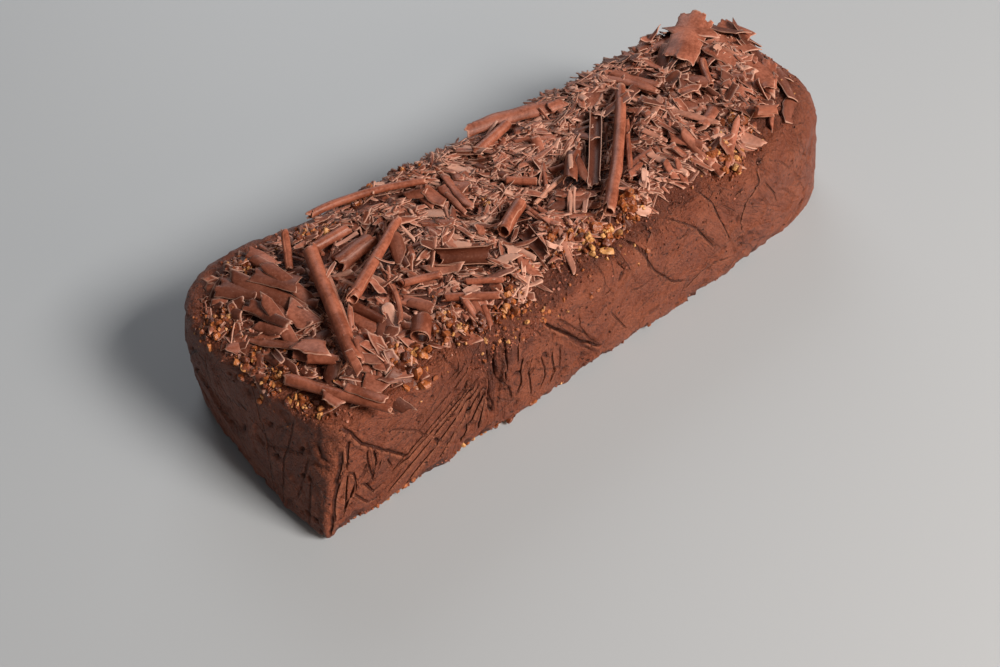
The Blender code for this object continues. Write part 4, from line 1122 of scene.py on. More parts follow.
def score_field(place, height):
    """Signed distance in millimetres from the nearest line, and how plain that line is there."""
    nearest = np.full(place.shape, SCORE_REACH)
    plainness = np.zeros(place.shape)
    for groove, path in [*groove_paths(), *score_paths()]:
        aside = np.abs(way_round(place - path[0, 0]))
        run = np.sum(np.linalg.norm(np.diff(path, axis=0), axis=1))
        near = (aside < run + SCORE_REACH) & (np.abs(height - path[0, 1]) < run + SCORE_REACH)
        side, ends = from_path(path, place[near], height[near])
        side = side * (1.0 if groove.points else SCRATCH_FINER)
        closer = np.abs(side) < np.abs(nearest[near])
        plain = min(groove.depth, 1.0) * smooth(0.15 + ends / (3.0 * MM))
        nearest[near] = np.where(closer, side, nearest[near])
        plainness[near] = np.where(closer, plain, plainness[near])
    return nearest / MM, plainness * falling(np.abs(nearest) / SCORE_REACH)


GROOVE_NARROWER = 0.85                  # share of the listed width that is cut
LIP_ABOVE, LIP_BELOW = 0.06, 0.50       # the lip's height as a share of the depth
PITS, PIT_SEED, PIT_REACH = 420, 9, 6 * MM


def groove_relief(place, height, rough):
    """Minus the depth of each groove by distance from its line, with a lip on its lower side.

    A groove gets finer as its first listed number goes from -40 to 0, so those of the far
    half are the finest.
    """
    relief = np.zeros(place.shape)
    for groove, path in groove_paths():
        side, ends = from_path(path, place, height)
        far = smooth((groove.points[0][0] + 40.0) / 40.0)
        width = groove.half_width * MM * (1.0 + 0.35 * rough) * (1.0 - 0.4 * far)
        width = GROOVE_NARROWER * width
        depth = groove.depth * MM * smooth(0.4 + ends / (2.5 * MM)) * (1.0 - 0.45 * far)
        relief -= depth * np.exp(-(side / width) ** 2)
        lip = np.exp(-((np.abs(side) - 1.8 * width) / (1.2 * width)) ** 2)
        relief += np.where(side > 0.0, LIP_BELOW, LIP_ABOVE) * depth * lip * (0.6 + 0.6 * rough)
    return relief


def pit_relief(place, height):
    """Minus the depth of seeded small holes, longer than wide."""
    rng = random.Random(PIT_SEED)
    relief = np.zeros(place.shape)
    for _ in range(PITS):
        middle = rng.uniform(0.0, GIRTH)
        up = 52.0 * MM * rng.random() ** 1.3
        size = rng.uniform(0.45, 1.15) * MM * (1.5 if rng.random() < 0.12 else 1.0)
        longer = rng.uniform(1.0, 2.6)
        turn = rng.gauss(0.2, 0.6)
        depth = rng.uniform(0.4, 1.3) * MM
        aside = way_round(place - middle)
        near = (np.abs(aside) < PIT_REACH) & (np.abs(height - up) < PIT_REACH)
        dx, dy = aside[near], height[near] - up
        u = (dx * cos(turn) + dy * sin(turn)) / longer
        v = -dx * sin(turn) + dy * cos(turn)
        relief[near] -= depth * np.exp(-((u ** 2 + v ** 2) / size ** 2) ** 1.5)
    return relief


# %% The whole loaf as a grid
def plain_rings(around):
    """Every ring before the knife: flat place, outward way, height, distances and shares."""
    rings = []
    radius = edge_radius(around)
    wall = HEIGHT - radius
    for level in LEVELS:
        up = min(level, 1.0)
        z = up * wall
        rise = (float(np.mean(z)) / HEIGHT) ** LEAN_POWER
        foot = FOOT * falling(z / FOOT_HEIGHT) - corner_bulge(around, z)
        bend = min(max(level - 1.0, 0.0), 1.0) * pi / 2
        inset = foot + radius * (1.0 - cos(bend))
        flat, outward = ring(around, rise, inset)
        opposite, _ = ring((1.0 - around) % 1.0, rise, inset)
        spine_x = np.clip(0.5 * (flat[:, 0] + opposite[:, 0]), -SPINE_HALF, SPINE_HALF)
        spine = np.stack([spine_x, np.zeros(len(flat))], axis=1)
        inwards = max(level - 2.0, 0.0) * (1.0 - SPINE_SHARE)
        depth_in = inwards * np.linalg.norm(flat - spine, axis=1)
        back = smooth(flat[:, 1] / BACK_EDGE_REACH)
        over = HEAP_OVER_BACK * back * smooth((flat[:, 0] - HEAP_OVER_X) / HEAP_OVER_REACH)
        from_wall = depth_in + radius * (1.0 - cos(bend))
        heap = smooth((from_wall - radius - HEAP_START + over) / HEAP_SLOPE)
        rings.append((flat, outward, z + radius * sin(bend),
                      up * wall + radius * bend + depth_in, spine,
                      np.full(len(flat), inwards), np.full(len(flat), bend), heap))
    return [np.stack(parts) for parts in zip(*rings)]


# %% Crumbled, dark and open parts of the wall
# Heights are in millimetres. The foot's gaps are listed by x, half width and height.
DARK_X = (-128, -110, -76, -68, -62, -57, -51, -45, -38, -20, 0, 22, 45, 60, 90, 128)
DARK_FROM = (54, 56, 54, 44, 28, 26, 32, 44, 45, 46, 47, 48, 53, 54, 53, 56)
DARK_SHARE = 0.9
CREVICE_X, CREVICE_HALF, CREVICE_DARKEST = -60.0, 3.6, 0.85
FOOT_GAPS = ((-126, 6, 6.0), (-106, 3, 4.0), (-91, 5, 5.0), (-76, 3, 6.5), (-66, 5, 5.0),
             (-40, 4, 4.0), (-10, 6, 4.4), (14, 7, 4.4), (44, 5, 4.0), (74, 7, 5.0))


def foot_gap_share(before, z):
    """1 in the gaps along the foot, where the cream doesn't reach the floor: the cream is set in a
    little there, and the shadow under its edge is painted.

    Some gaps are seeded and run all round, and the rest are listed.
    """
    seeded = smooth((uneven(before * (1.0, 1.0, 0.2), 7 * MM, 11) - 0.02) / 0.22)
    above = z - 2.2 * MM * (1.0 + uneven(before, 5 * MM, 13))
    share = seeded * falling(above / (2.2 * MM))
    ragged = 1.0 + 0.5 * uneven(before, 3 * MM, 18)
    for x, half, high in FOOT_GAPS:
        shape = np.exp(-((before[..., 0] / MM - x) / half) ** 4) * (before[..., 1] < 0.0)
        listed = shape * falling((z - (high * ragged - 0.8) * MM) / (1.3 * MM))
        share = np.maximum(share, listed)
    return share


def dark_share(before, height):
    """1 in a dark, crumbly band of the viewer's side, from a listed height up."""
    low = np.interp(before[..., 0] / MM, DARK_X, DARK_FROM) * MM
    share = smooth((height - low + 2.5 * MM * uneven(before, 4 * MM, 14)) / (5 * MM))
    return share * ((before[..., 1] < 0.0) * (0.75 + 0.25 * uneven(before, 1.5 * MM, 15)))


def crevice_painted_shade(before, z):
    """How dark the painted shade in the crevice beside the fan of lines is: a ragged band about one
    x.
    """
    band_share = np.exp(-((before[..., 0] / MM - CREVICE_X) / CREVICE_HALF) ** 2)
    ragged = 0.62 + 0.5 * uneven(before * (1.0, 1.0, 0.25), 2.0 * MM, 21)
    share = band_share * (before[..., 1] < 0.0) * (smooth((z - 20 * MM) / (7 * MM)) * ragged)
    return np.clip(share, 0.0, CREVICE_DARKEST)


# %% The knifed loaf
LARGE_STRENGTH, SMALL_STRENGTH = 0.85, 0.6
LARGE_SHARE = 0.7
DRAG = 0.05 * MM                    # the fine roughness that the knife drags up
CRUMBLE = 0.30                      # mm, in the band of height where cream meets crumbs
STEPS = 0.5 * MM                    # small steps down the near corner
STEPS_PLACE, STEPS_WIDTH = 52 * MM, 7 * MM
# The foot's gaps are set in by the gap depth and darkened further by a painted shadow.
GAP_DEPTH, GAP_PAINTED_SHADOW = 0.8 * MM, 2.5 * MM
DEEPEST_FINE, PROUDEST_FINE = 3.2 * MM, 1.3 * MM
RUBBLE = 0.5 * MM
BOX_MARGIN = 0.05 * MM


def loaf_points():
    """The knifed loaf: each ring moved out by the relief, then drawn in towards the spine."""
    flat, outward, z, height, spine, inwards, bend, heap = plain_rings(AROUND)
    place = np.array(np.broadcast_to(AROUND * GIRTH, z.shape))
    before = np.dstack([flat, z])
    rough = uneven(before, 1.6 * MM, 1) * 0.7 + uneven(before, 0.8 * MM, 2) * 0.5
    large = lay_strokes(LARGE_STROKES, place, height, np.zeros(z.shape), rough, LARGE_STRENGTH)
    large = LARGE_SHARE * np.clip(large, -DEEPEST, PROUDEST)
    fine = lay_strokes(SMALL_STROKES, place, height, np.zeros(z.shape), rough, SMALL_STRENGTH)
    cuts = groove_relief(place, height, rough) + pit_relief(place, height)
    fine += cuts
    fine += DRAG * uneven(before, 3.0 * MM, 3) + DRAG * rough

    crumbly = smooth((height - 36 * MM) / (12 * MM)) * falling((height - 56 * MM) / (9 * MM))
    fine += crumbly * CRUMBLE * MM * uneven(before, 2.2 * MM, 5)
    ridge = np.exp(-((place - END_CORNER_PLACE - 1.2 * MM * rough) / END_CORNER_WIDTH) ** 2)
    fine += END_CORNER_RIDGE * ridge * smooth(z / (3 * MM)) * falling((z - 38 * MM) / (9 * MM))
    by_corner = np.exp(-((place - STEPS_PLACE) / STEPS_WIDTH) ** 2)
    fine += STEPS * uneven(before * (1.0, 1.0, 0.12), 1.8 * MM, 12) * by_corner
    ragged_foot = 0.8 * uneven(before, 4.5 * MM, 6) + 0.6 * uneven(before, 1.9 * MM, 7) - 0.35
    fine += falling(z / (5.5 * MM)) * ragged_foot * MM
    foot_gaps = foot_gap_share(before, z)
    fine -= GAP_DEPTH * foot_gaps
    dark = dark_share(before, height)
    fine += dark * (1.0 - heap) * 0.7 * MM * uneven(before * (1.0, 1.0, 0.5), 1.3 * MM, 16)
    moved = large + np.clip(fine, -DEEPEST_FINE, PROUDEST_FINE)

    flat = flat + outward * (moved * np.cos(bend))[..., None]
    flat = flat + (spine - flat) * inwards[..., None]
    z = z + moved * np.sin(bend) * (1.0 - 0.6 * heap) + DOME * (1.0 - (1.0 - inwards) ** 2)
    rubble = np.dstack([flat, z])
    crumbs = 0.55 * uneven(rubble, 2.6 * MM, 8) + 0.45 * uneven(rubble, 1.2 * MM, 9)
    z = z + heap * (heap_height(flat[..., 0], flat[..., 1]) + RUBBLE * crumbs)
    points = np.dstack([flat, z])
    points[0, :, 2] = 0.0
    points[..., :2] = np.clip(points[..., :2], cad_low[:2] + BOX_MARGIN, cad_high[:2] - BOX_MARGIN)
    # The crumb brown covers the heap, the dark band and the crevice: crumbs, with painted shade
    # between the shavings and in the crevice.
    brown = np.maximum(np.maximum(heap, DARK_SHARE * dark), crevice_painted_shade(before, z))
    return points, cuts - GAP_PAINTED_SHADOW * foot_gaps, brown, place, height, spine[0, :, 0]


# %% The loaf's faces and UV
def close_slit(first, around):
    """Triangles over the slit inside a closed row, taking the points of its two sides in turn."""
    share = np.minimum(around, 1.0 - around)
    order = np.argsort(share[1:], kind="stable") + 1
    on_front = around[order] <= 0.5
    front = np.concatenate([[0], np.maximum.accumulate(np.where(on_front, order, 0))[:-1]])
    back = np.minimum.accumulate(np.where(on_front, len(around), order))[:-1]
    back = np.concatenate([[len(around)], back]) % len(around)
    return first + np.stack([front, order, back], axis=1)[1:]


def stroke_lines(place, height):
    """How plainly the blade's lines show: a share for each stroke, nothing on over half of them."""
    strokes = LARGE_STROKES + SMALL_STROKES
    shares = np.random.default_rng(17).uniform(-2.2, 0.8, len(strokes) + 1)
    shares[-1 - FAN_STROKES:-1] = 1.0
    return np.clip(shares, 0.0, 1.0)[top_strokes(strokes, place, height)]


def loaf_uv(place, height, quads):
    """UV of each wall corner: distances along and across the topmost stroke, shifted for each."""
    strokes = LARGE_STROKES + SMALL_STROKES
    flat_place, flat_height = place.ravel(), height.ravel()
    start = flat_place[quads[:, 0]]
    step = (flat_place[quads[:, 1]] - start) % GIRTH
    centre = start + 0.5 * step
    level = flat_height[quads].mean(axis=1)
    top = top_strokes(strokes, centre, level)
    places = np.stack([start, start + step, start + step, start], axis=1)
    heights = flat_height[quads]
    uv = np.zeros((len(quads), 4, 2))
    uv[..., 0] = places * UV_PER_METRE
    uv[..., 1] = heights * UV_PER_METRE
    for number in np.unique(top[top >= 0]):
        chosen = top == number
        along, over = stroke_frame(strokes[number], places[chosen], heights[chosen])
        uv[chosen, :, 0] = along * UV_PER_METRE + 3.71 * number % 19.0
        uv[chosen, :, 1] = over * UV_PER_METRE + 7.13 * number % 23.0
    return uv


# %% Build the loaf
loaf_surface, relief, heap, place, height, spine_x = loaf_points()
rings = len(LEVELS)
wall_quads = grid_quads(rings, POINTS_ROUND, closed=True)
base_middle = np.zeros((POINTS_ROUND, 3))
base_middle[:, 0] = spine_x
base_middle[:, :2] += SPINE_SHARE * (loaf_surface[0, :, :2] - base_middle[:, :2])
all_points = np.concatenate([loaf_surface.reshape(-1, 3), base_middle])
first_base = rings * POINTS_ROUND
here = np.arange(POINTS_ROUND)
beyond = (here + 1) % POINTS_ROUND
base_quads = np.stack([beyond, here, first_base + here, first_base + beyond], axis=1)
ends = np.concatenate([close_slit((rings - 1) * POINTS_ROUND, AROUND),
                       close_slit(first_base, AROUND)[:, ::-1]])
wall_uv = loaf_uv(place, height, wall_quads).reshape(-1, 2)
other_corners = np.concatenate([base_quads.ravel(), ends.ravel()])
other_uv = all_points[other_corners][:, :2] * UV_PER_METRE
score, scored = score_field(place, height)
# "heap" carries the crumb brown's share, painted shade included, and "relief" also carries the foot
# gaps' painted shadow.
fields = {"relief": relief / MM, "heap": heap, "lined": stroke_lines(place, height),
          "score": score, "scored": scored}
fields = {label: np.concatenate([field.ravel(), np.zeros(POINTS_ROUND)])
          for label, field in fields.items()}
loaf_mesh = mesh_of("spread loaf", all_points, [wall_quads, base_quads, ends],
                    np.concatenate([wall_uv, other_uv]), **fields)
loaf = piece("spread_loaf", loaf_mesh, CREAM, "cream", ["cake"])
print("loaf faces:", len(loaf_mesh.polygons))

# %% [markdown]
# ## The rolled and curved shavings
# A blade pushed over a block lifts a thin sheet that curls as it comes. Its section is an
# arc, or for a tight quill a spiral, so one function carries a section along the length.
# The ends are broken, the sheet's free edges are ragged, and its radius wanders. Two
# offset copies of the surface and a rim make it a thin closed solid.

# %% One rolled sheet
WALL = 0.55 * MM
TIGHT_SWEEP = 270       # degrees, above which a sheet is a tight quill
SPIRAL = 230.0          # degrees that a tight quill goes on inside itself
TEAR_STRIP = 3.0        # mm of arc for each strip that tears on its own


def is_tight(item):
    """True for a quill, which is rolled up on itself."""
    return item.sweep > TIGHT_SWEEP


def full_sweep(item):
    """Degrees that the sheet turns through, the spiral inside a quill with them."""
    return item.sweep + (SPIRAL if is_tight(item) else 0.0)


def girth_count(item):
    """How many strips the torn end of a sheet has: about one for each 3 mm of its arc."""
    return int(radians(item.sweep) * item.radius / TEAR_STRIP)


def tear_reach(item):
    """How deep the ends tear: a ninth of the length, or a twentieth on a quill or a broad sheet."""
    return (0.05 if is_tight(item) or item.radius > 7 else 0.11) * item.length * MM


def rolled_sheet(item, u, v, seed):
    """Middle surface and outward way of a rolled sheet, u along it and v round its section.

    The section's angle is the opening plus half a turn plus v times the sweep. The radius
    shrinks inwards along the spiral, the ends shift by a ragged amount, and the middle
    bows to one side by the bend.
    """
    tight = is_tight(item)
    spiral = SPIRAL if tight else 0.0
    sweep = full_sweep(item)
    field = np.stack([u * item.length * MM, v * 9 * MM, np.full(u.shape, seed * 5 * MM)], axis=-1)
    wander = uneven(field, 7 * MM, seed)
    ragged = uneven(field * (0.05, 1.0, 1.0), 1.1 * MM, seed + 50)
    slow = uneven(field * (0.05, 1.0, 1.0), 3.6 * MM, seed + 80)
    edge = uneven(field * (1.0, 0.05, 1.0), 2.2 * MM, seed + 90)
    sheet = v * (1.0 + (0.05 + 0.05 * tight) * edge * np.abs(2 * v) ** 3)
    angle = np.radians(item.opening + 180.0 + sheet * sweep - 0.5 * spiral)
    inner = np.clip(-(sheet * sweep + 0.5 * sweep - spiral) / max(spiral, 1.0), 0.0, 1.0)
    radius = item.radius * MM * (1.0 + (item.taper - 1.0) * (u + 0.5)) - 0.5 * WALL
    radius = radius * (1.0 - 0.42 * inner * tight) * (1.0 + 0.05 * wander)
    end_reach = min(0.10 * item.length, 2.6) * MM
    ends = np.abs(2 * u) ** 8 * np.sign(u) * end_reach * (0.6 * slow + 0.45 * ragged - 0.35)
    strip = np.floor((v + 0.5) * (2 + girth_count(item)) + 0.25 * edge).astype(int) % 9
    torn = np.random.default_rng(seed).uniform(-1.0, 0.15, (2, 9))[(u > 0).astype(int), strip]
    ends = ends + np.abs(2 * u) ** 4 * np.sign(u) * torn * tear_reach(item)
    radius = radius + np.abs(2 * u) ** 3 * (0.0 if tight else 1.1 * MM) * (torn + 0.5)
    bow = item.bend * MM * (1.0 - (2 * u) ** 2) + 0.25 * MM * wander
    middle = np.stack([u * item.length * MM + ends, bow + radius * np.sin(angle),
                       radius * np.cos(angle)], axis=-1)
    outward = np.stack([np.zeros(u.shape), np.sin(angle), np.cos(angle)], axis=-1)
    return middle, outward, np.radians(sweep) * item.radius * MM


def turned_and_placed(item, points, low, high):
    """Tilt and turn a shaving, and set it at the height of its plain solid."""
    tilt, heading = radians(-item.tilt), radians(item.heading)
    turn = np.array(Matrix.Rotation(heading, 3, "Z") @ Matrix.Rotation(tilt, 3, "Y"))
    turned = points @ turn.T
    turned[..., 0] += item.x * MM
    turned[..., 1] += item.y * MM
    middle = 0.5 * (turned[..., 2].min() + turned[..., 2].max())
    turned[..., 2] += 0.5 * (low[2] + high[2]) - middle
    return turned


# Painted shade: the near end's shavings are darkened, as the near end lies in shade.
NEAR_PAINTED_SHADE, NEAR_FADE = 0.4, 25.0 * MM     # the near end lies in shade, so its browns are deeper
LARGE_NEAR_X = -88.0 * MM


def near_shade(x, start):
    """1, and less by the near end, where the browns are darkened as painted shade: x below the start
    lowers it.
    """
    return 1.0 - NEAR_PAINTED_SHADE * smooth((start - x) / NEAR_FADE)


def shaving_mesh(item, seed):
    """The closed thin solid of one large shaving."""
    arc = radians(full_sweep(item)) * item.radius
    rows = int(np.clip(item.length / 0.7, 16, 90))
    columns = int(np.clip(arc / 0.5, 12, 56))
    u, v = np.meshgrid(np.linspace(-0.5, 0.5, rows), np.linspace(-0.5, 0.5, columns), indexing="ij")
    middle, outward, girth = rolled_sheet(item, u, v, seed)
    rim = np.maximum(smooth((np.abs(2 * u) - 0.90) / 0.1), smooth((np.abs(2 * v) - 0.86) / 0.14))
    half = 0.5 * WALL * (1.0 - 0.65 * rim)[..., None]
    both = np.stack([middle + outward * half, middle - outward * half])
    low, high = (np.array(corner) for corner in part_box(item.name))
    placed = turned_and_placed(item, both, low, high).reshape(-1, 3)
    placed = in_box(placed, 0.02 * MM)
    quads = slab_quads(rows, columns)
    flat_uv = np.stack([u * item.length * MM, v * girth], axis=-1).reshape(-1, 2) * UV_PER_METRE
    uv = np.concatenate([flat_uv, flat_uv])[quads.ravel()] + (1.7 * seed % 11, 2.3 * seed % 13)
    usual = 0.40 + 0.45 * random.Random(seed).random()
    shade = np.full(len(placed), usual if item.shade is None else item.shade)
    shade *= near_shade(placed[:, 0].mean(), LARGE_NEAR_X)
    edge = np.concatenate([rim.ravel(), rim.ravel()])
    return mesh_of(item.name, placed, [quads], uv, edge=edge, shade=shade)


# %% Lay the large shavings
large_points = []
for number, item in enumerate(SHAVINGS):
    look, slot = (QUILL, "quill") if item.sweep > 180 else (SHAVING, "shaving")
    mesh = shaving_mesh(item, number + 1)
    piece(f"{item.name}_chocolate", mesh, look, slot, [item.name])
    coordinates = np.zeros(len(mesh.vertices) * 3, dtype=np.float32)
    mesh.vertices.foreach_get("co", coordinates)
    large_points.append(coordinates.reshape(-1, 3))
large_points = np.concatenate(large_points)
print("points of the large shavings:", len(large_points))

# %% [markdown]
# ## A height map to drop things on
# Slivers lie on the heap, on each other and against the quills. A map of heights, one
# value every 0.8 mm, makes that cheap: each sliver reads the heights under it, takes
# their slope, rests there, and raises the map by its own thickness.

# %% The height map
CELL = 0.8 * MM
RAY_START = 0.2         # metres up, well above the loaf
MAP_X = np.arange(-HALF_LENGTH, HALF_LENGTH, CELL)
MAP_Y = np.arange(-HALF_WIDTH, HALF_WIDTH, CELL)
graph = bpy.context.evaluated_depsgraph_get()
loaf_tree = BVHTree.FromObject(loaf, graph)


def loaf_height(x, y):
    """Height of the loaf there, or 0 beside it."""
    hit = loaf_tree.ray_cast(Vector((x, y, RAY_START)), Vector((0.0, 0.0, -1.0)))[0]
    return hit.z if hit else 0.0


ground = np.array([[loaf_height(x, y) for y in MAP_Y] for x in MAP_X])
covered = np.zeros(ground.shape, dtype=bool)


def cells(x, y):
    """Map row and column of places, kept inside the map."""
    row = np.clip(((x + HALF_LENGTH) / CELL).astype(int), 0, len(MAP_X) - 1)
    column = np.clip(((y + HALF_WIDTH) / CELL).astype(int), 0, len(MAP_Y) - 1)
    return row, column


print("height map:", ground.shape, "highest, mm:", round(ground.max() / MM, 1))

# %% Where toppings lie
FRONT_X = np.array([-134, -125, -118, -107, -89, -76, -65, -44, -36, -23,
                    7, 28, 49, 68, 79, 90, 101, 110, 118, 128]) * MM
FRONT_Y = np.array([-8, -26, -40, -42, -42, -40, -41, -41, -41, -36,
                    -36, -35, -34, -38, -36, -29, -23, -18, -12, 0]) * MM
BACK_X = np.array([-136, -132.5, -125, -112, -90, -60, 0, 60, 95, 112, 122, 130]) * MM
BACK_Y = np.array([8, 25, 35, 40, 40, 41, 43, 43, 42, 37, 29, 12]) * MM


def on_heap(x, y, margin):
    """True where a place is inside the topping's border by at least the margin."""
    front = np.interp(x, FRONT_X, FRONT_Y)
    back = np.interp(x, BACK_X, BACK_Y)
    inside = (x > FRONT_X[0] + margin) & (x < FRONT_X[-1] - margin)
    return inside & (y > front + margin) & (y < back - margin)


# %% [markdown]
# ## Slivers and flakes
# A sliver is the same thin curved slab as a large shaving, with a few dozen faces. All of
# one kind are made at once: arrays hold each one's size, curl and twist, and a formula
# gives every point of every sliver in one step.

# %% Many thin slabs at once
Kind = namedtuple("Kind", "name count length width curl bend twist jag thickness pitch rows columns")


def slab_points(kind, sizes, rng, curls=None):
    """Points of n curved slabs before they are turned.

    Along x a slab narrows to broken ends, cut askew and toothed. Its long edges wave. Across
    it follows an arc of the curl's angle, along it bends like a shallow bow, and its section
    turns with the twist.
    """
    n = len(sizes)
    u, v = np.meshgrid(np.linspace(-0.5, 0.5, kind.rows), np.linspace(-0.5, 0.5, kind.columns),
                       indexing="ij")
    length, width = sizes[:, 0, None, None], sizes[:, 1, None, None]

    def by_side(values, coordinate):
        return np.where(coordinate < 0, values[:, :1, None], values[:, 1:, None])

    broad = smooth((sizes[:, 1] / MM - 5.0) / 3.0)[:, None]
    tips = rng.uniform(0.03, 1.0, (n, 2)) ** 0.6
    tip = by_side(np.maximum(tips, 0.75 * broad), u)
    begin = by_side(rng.uniform(0.1, 0.85, (n, 2)), u)
    narrow = 1.0 - (1.0 - tip) * np.clip((np.abs(2 * u) - begin) / (1.0 - begin), 0.0, 1.0)
    phase = by_side(rng.uniform(0.0, 2 * np.pi, (n, 2)), v)
    waves = np.sin(7 * u + phase) + 0.6 * np.sin(17 * u + 2.3 * phase)
    aslant = by_side(rng.uniform(-0.5, 0.5, (n, 2)), u) * (1.0 - narrow)
    across = v * narrow * (1.0 + kind.jag * waves) + aslant
    if curls is None:
        curls = rng.uniform(*kind.curl, n) * rng.choice([-1.0, 1.0], n, p=[0.3, 0.7])
    curl = np.radians(curls)[:, None, None]
    curl = np.where(np.abs(curl) < 0.05, 0.05, curl)
    angle = across * curl
    askew = by_side(rng.normal(0.0, 0.5, (n, 2)), u) * v * width
    teeth = rng.uniform(-1.0, 0.2, (n, 2, kind.columns))
    teeth = np.where(u < 0, teeth[:, :1], teeth[:, 1:]) * np.sign(u) * kind.jag * 0.45 * length
    teeth = teeth * (1.0 - 0.7 * broad[..., None])
    x = length * u + (askew + teeth) * np.abs(2 * u) ** 5
    y = width / curl * np.sin(angle)
    bow = rng.normal(0.0, kind.bend, (n, 1, 1)) * length * (2 * u) ** 2
    z = -width / curl * (1.0 - np.cos(angle)) + bow
    twist = rng.normal(0.0, kind.twist, (n, 1, 1)) * 2 * u
    middle = np.stack([x, y * np.cos(twist) - z * np.sin(twist),
                       y * np.sin(twist) + z * np.cos(twist)], axis=-1)
    normal = np.stack([0 * y, np.sin(angle - twist), np.cos(angle - twist)], axis=-1)
    edge = ((np.abs(u) > 0.49) | (np.abs(v) > 0.49)).astype(float)
    half = (0.5 * kind.thickness * MM * (1.0 - 0.4 * edge))[..., None]
    slab = np.stack([middle + normal * half, middle - normal * half], axis=1)
    flat = np.stack([x, across * width], axis=-1) * UV_PER_METRE
    edges = np.broadcast_to(np.stack([edge, edge]).reshape(-1), (n, 2 * edge.size))
    uv = np.repeat(flat.reshape(n, 1, -1, 2), 2, axis=1).reshape(n, -1, 2)
    return slab.reshape(n, -1, 3), edges, uv


def rotations(yaw, pitch, roll):
    """Matrices that roll about x, then pitch about y, then yaw about z, for whole arrays."""
    cy, sy, cp, sp, cr, sr = (f(a) for a in (yaw, pitch, roll) for f in (np.cos, np.sin))
    rows = [[cy * cp, cy * sp * sr - sy * cr, cy * sp * cr + sy * sr],
            [sy * cp, sy * sp * sr + cy * cr, sy * sp * cr - cy * sr],
            [-sp, cp * sr, cp * cr]]
    return np.moveaxis(np.array(rows), -1, 0)


STEEPEST = 0.35             # slope that a slab takes over from the ground, at most
RAISED_MOST = 0.45 * MM     # that one slab raises the map
SLAB_NEAR_X = -85.0 * MM
REST_U, REST_V = np.meshgrid(np.linspace(-0.45, 0.45, 5), np.linspace(-0.4, 0.4, 3), indexing="ij")


def footprint(x, y, yaw, length, width):
    """Map row and column under a slab's resting points, and how far along and over it they are."""
    along, over = REST_U * length, REST_V * width
    row, column = cells(x + along * cos(yaw) - over * sin(yaw),
                        y + along * sin(yaw) + over * cos(yaw))
    return row, column, along, over


def settle(x, y, yaw, length, width, pitch, roll, thickness, highest):
    """Height, pitch and roll of a slab that comes to rest on the map, which it then raises."""
    row, column, along, over = footprint(x, y, yaw, length, width)
    under = ground[row, column]
    slope = (np.median(under[3:]) - np.median(under[:2])) / (0.6 * length)
    lean = (under[:, 2].mean() - under[:, 0].mean()) / max(0.8 * width, 2.5 * MM)
    pitch = pitch - atan(np.clip(slope, -STEEPEST, STEEPEST))
    roll = roll + atan(np.clip(lean, -STEEPEST, STEEPEST))
    plane = -tan(pitch) * along + tan(roll) * over
    z = np.percentile(under - plane, 65) + 0.5 * thickness
    z = min(z, highest - 0.5 * abs(sin(pitch)) * length - 0.5 * abs(sin(roll)) * width)
    raised = np.minimum(z + plane + 0.5 * thickness, ground[row, column] + RAISED_MOST)
    np.maximum.at(ground, (row, column), raised)
    return z, pitch, roll


def drift(x, y, seed):
    """Heading that neighbouring slivers share: they fell together from one pass of the blade."""
    place = np.array([x, y, 0.0])
    return radians(-38.0) + 1.3 * float(uneven(place, 21 * MM, seed))


def join_slabs(kind, placed, rng, shade, curls=None):
    """Make every slab of one kind at its place, all in one piece."""
    slab, edge, uv = slab_points(kind, placed[:, 6:8], rng, curls)
    turn = rotations(placed[:, 3], placed[:, 4], placed[:, 5])
    points = np.einsum("nij,npj->npi", turn, slab) + placed[:, None, :3]
    points = in_box(points, BOX_MARGIN)
    count = points.shape[1]
    quads = slab_quads(kind.rows, kind.columns)
    every = (quads[None] + np.arange(len(placed))[:, None, None] * count).reshape(-1, 4)
    uv = (uv + rng.uniform(0, 40, (len(placed), 1, 2))).reshape(-1, 2)[every.ravel()]
    shade = shade * near_shade(placed[:, 0], SLAB_NEAR_X)
    mesh = mesh_of(kind.name, points.reshape(-1, 3), [every], uv, edge=edge.ravel(),
                   shade=np.repeat(shade, count))
    print(kind.name, "faces:", len(mesh.polygons))
    piece(kind.name, mesh, SHAVING, "shaving")


LOOSE = 0.6     # radians that a slab's heading strays from the drift of its place


def scatter(kind, seed, where, shades):
    """Drop one kind of slab by a seeded rule, mostly clear of the large shavings.

    A spot is kept where a random share is below `where` there. Most slabs may lie a tenth over
    the large shavings, and one in eight may lie half over them.
    """
    rng = np.random.default_rng(seed)
    found = []
    while len(found) < kind.count:
        x, y = rng.uniform(-134, 130) * MM, rng.uniform(-43, 44) * MM
        length = rng.uniform(*kind.length) * MM
        width = rng.uniform(*kind.width) * MM
        yaw = drift(x, y, seed) + rng.normal(0.0, LOOSE) + pi * rng.integers(2)
        keep, over = rng.random(2)
        if not on_heap(x, y, 0.25 * length) or keep > where(x, y):
            continue
        row, column, *_ = footprint(x, y, yaw, length, width)
        if covered[row, column].mean() > (0.5 if over < 0.12 else 0.1):
            continue
        pitch, roll = np.radians(rng.normal(0.0, kind.pitch, 2))
        z, pitch, roll = settle(x, y, yaw, length, width, pitch, roll, kind.thickness * MM,
                                cad_high[2] - 0.5 * MM)
        found.append((x, y, z, yaw, pitch, roll, length, width))
    join_slabs(kind, np.array(found), rng, rng.uniform(*shades, len(found)))


# %% Drop the lower layer, then raise the map by the large shavings
def fine_part(x, y):
    """Slivers are thickest over the middle of the top and thin out by the front edge."""
    front = smooth((y - np.interp(x, FRONT_X, FRONT_Y) - 2 * MM) / (9 * MM))
    return (0.35 + 0.65 * front) * (0.25 + 0.75 * exp(-(x / (55 * MM)) ** 2))


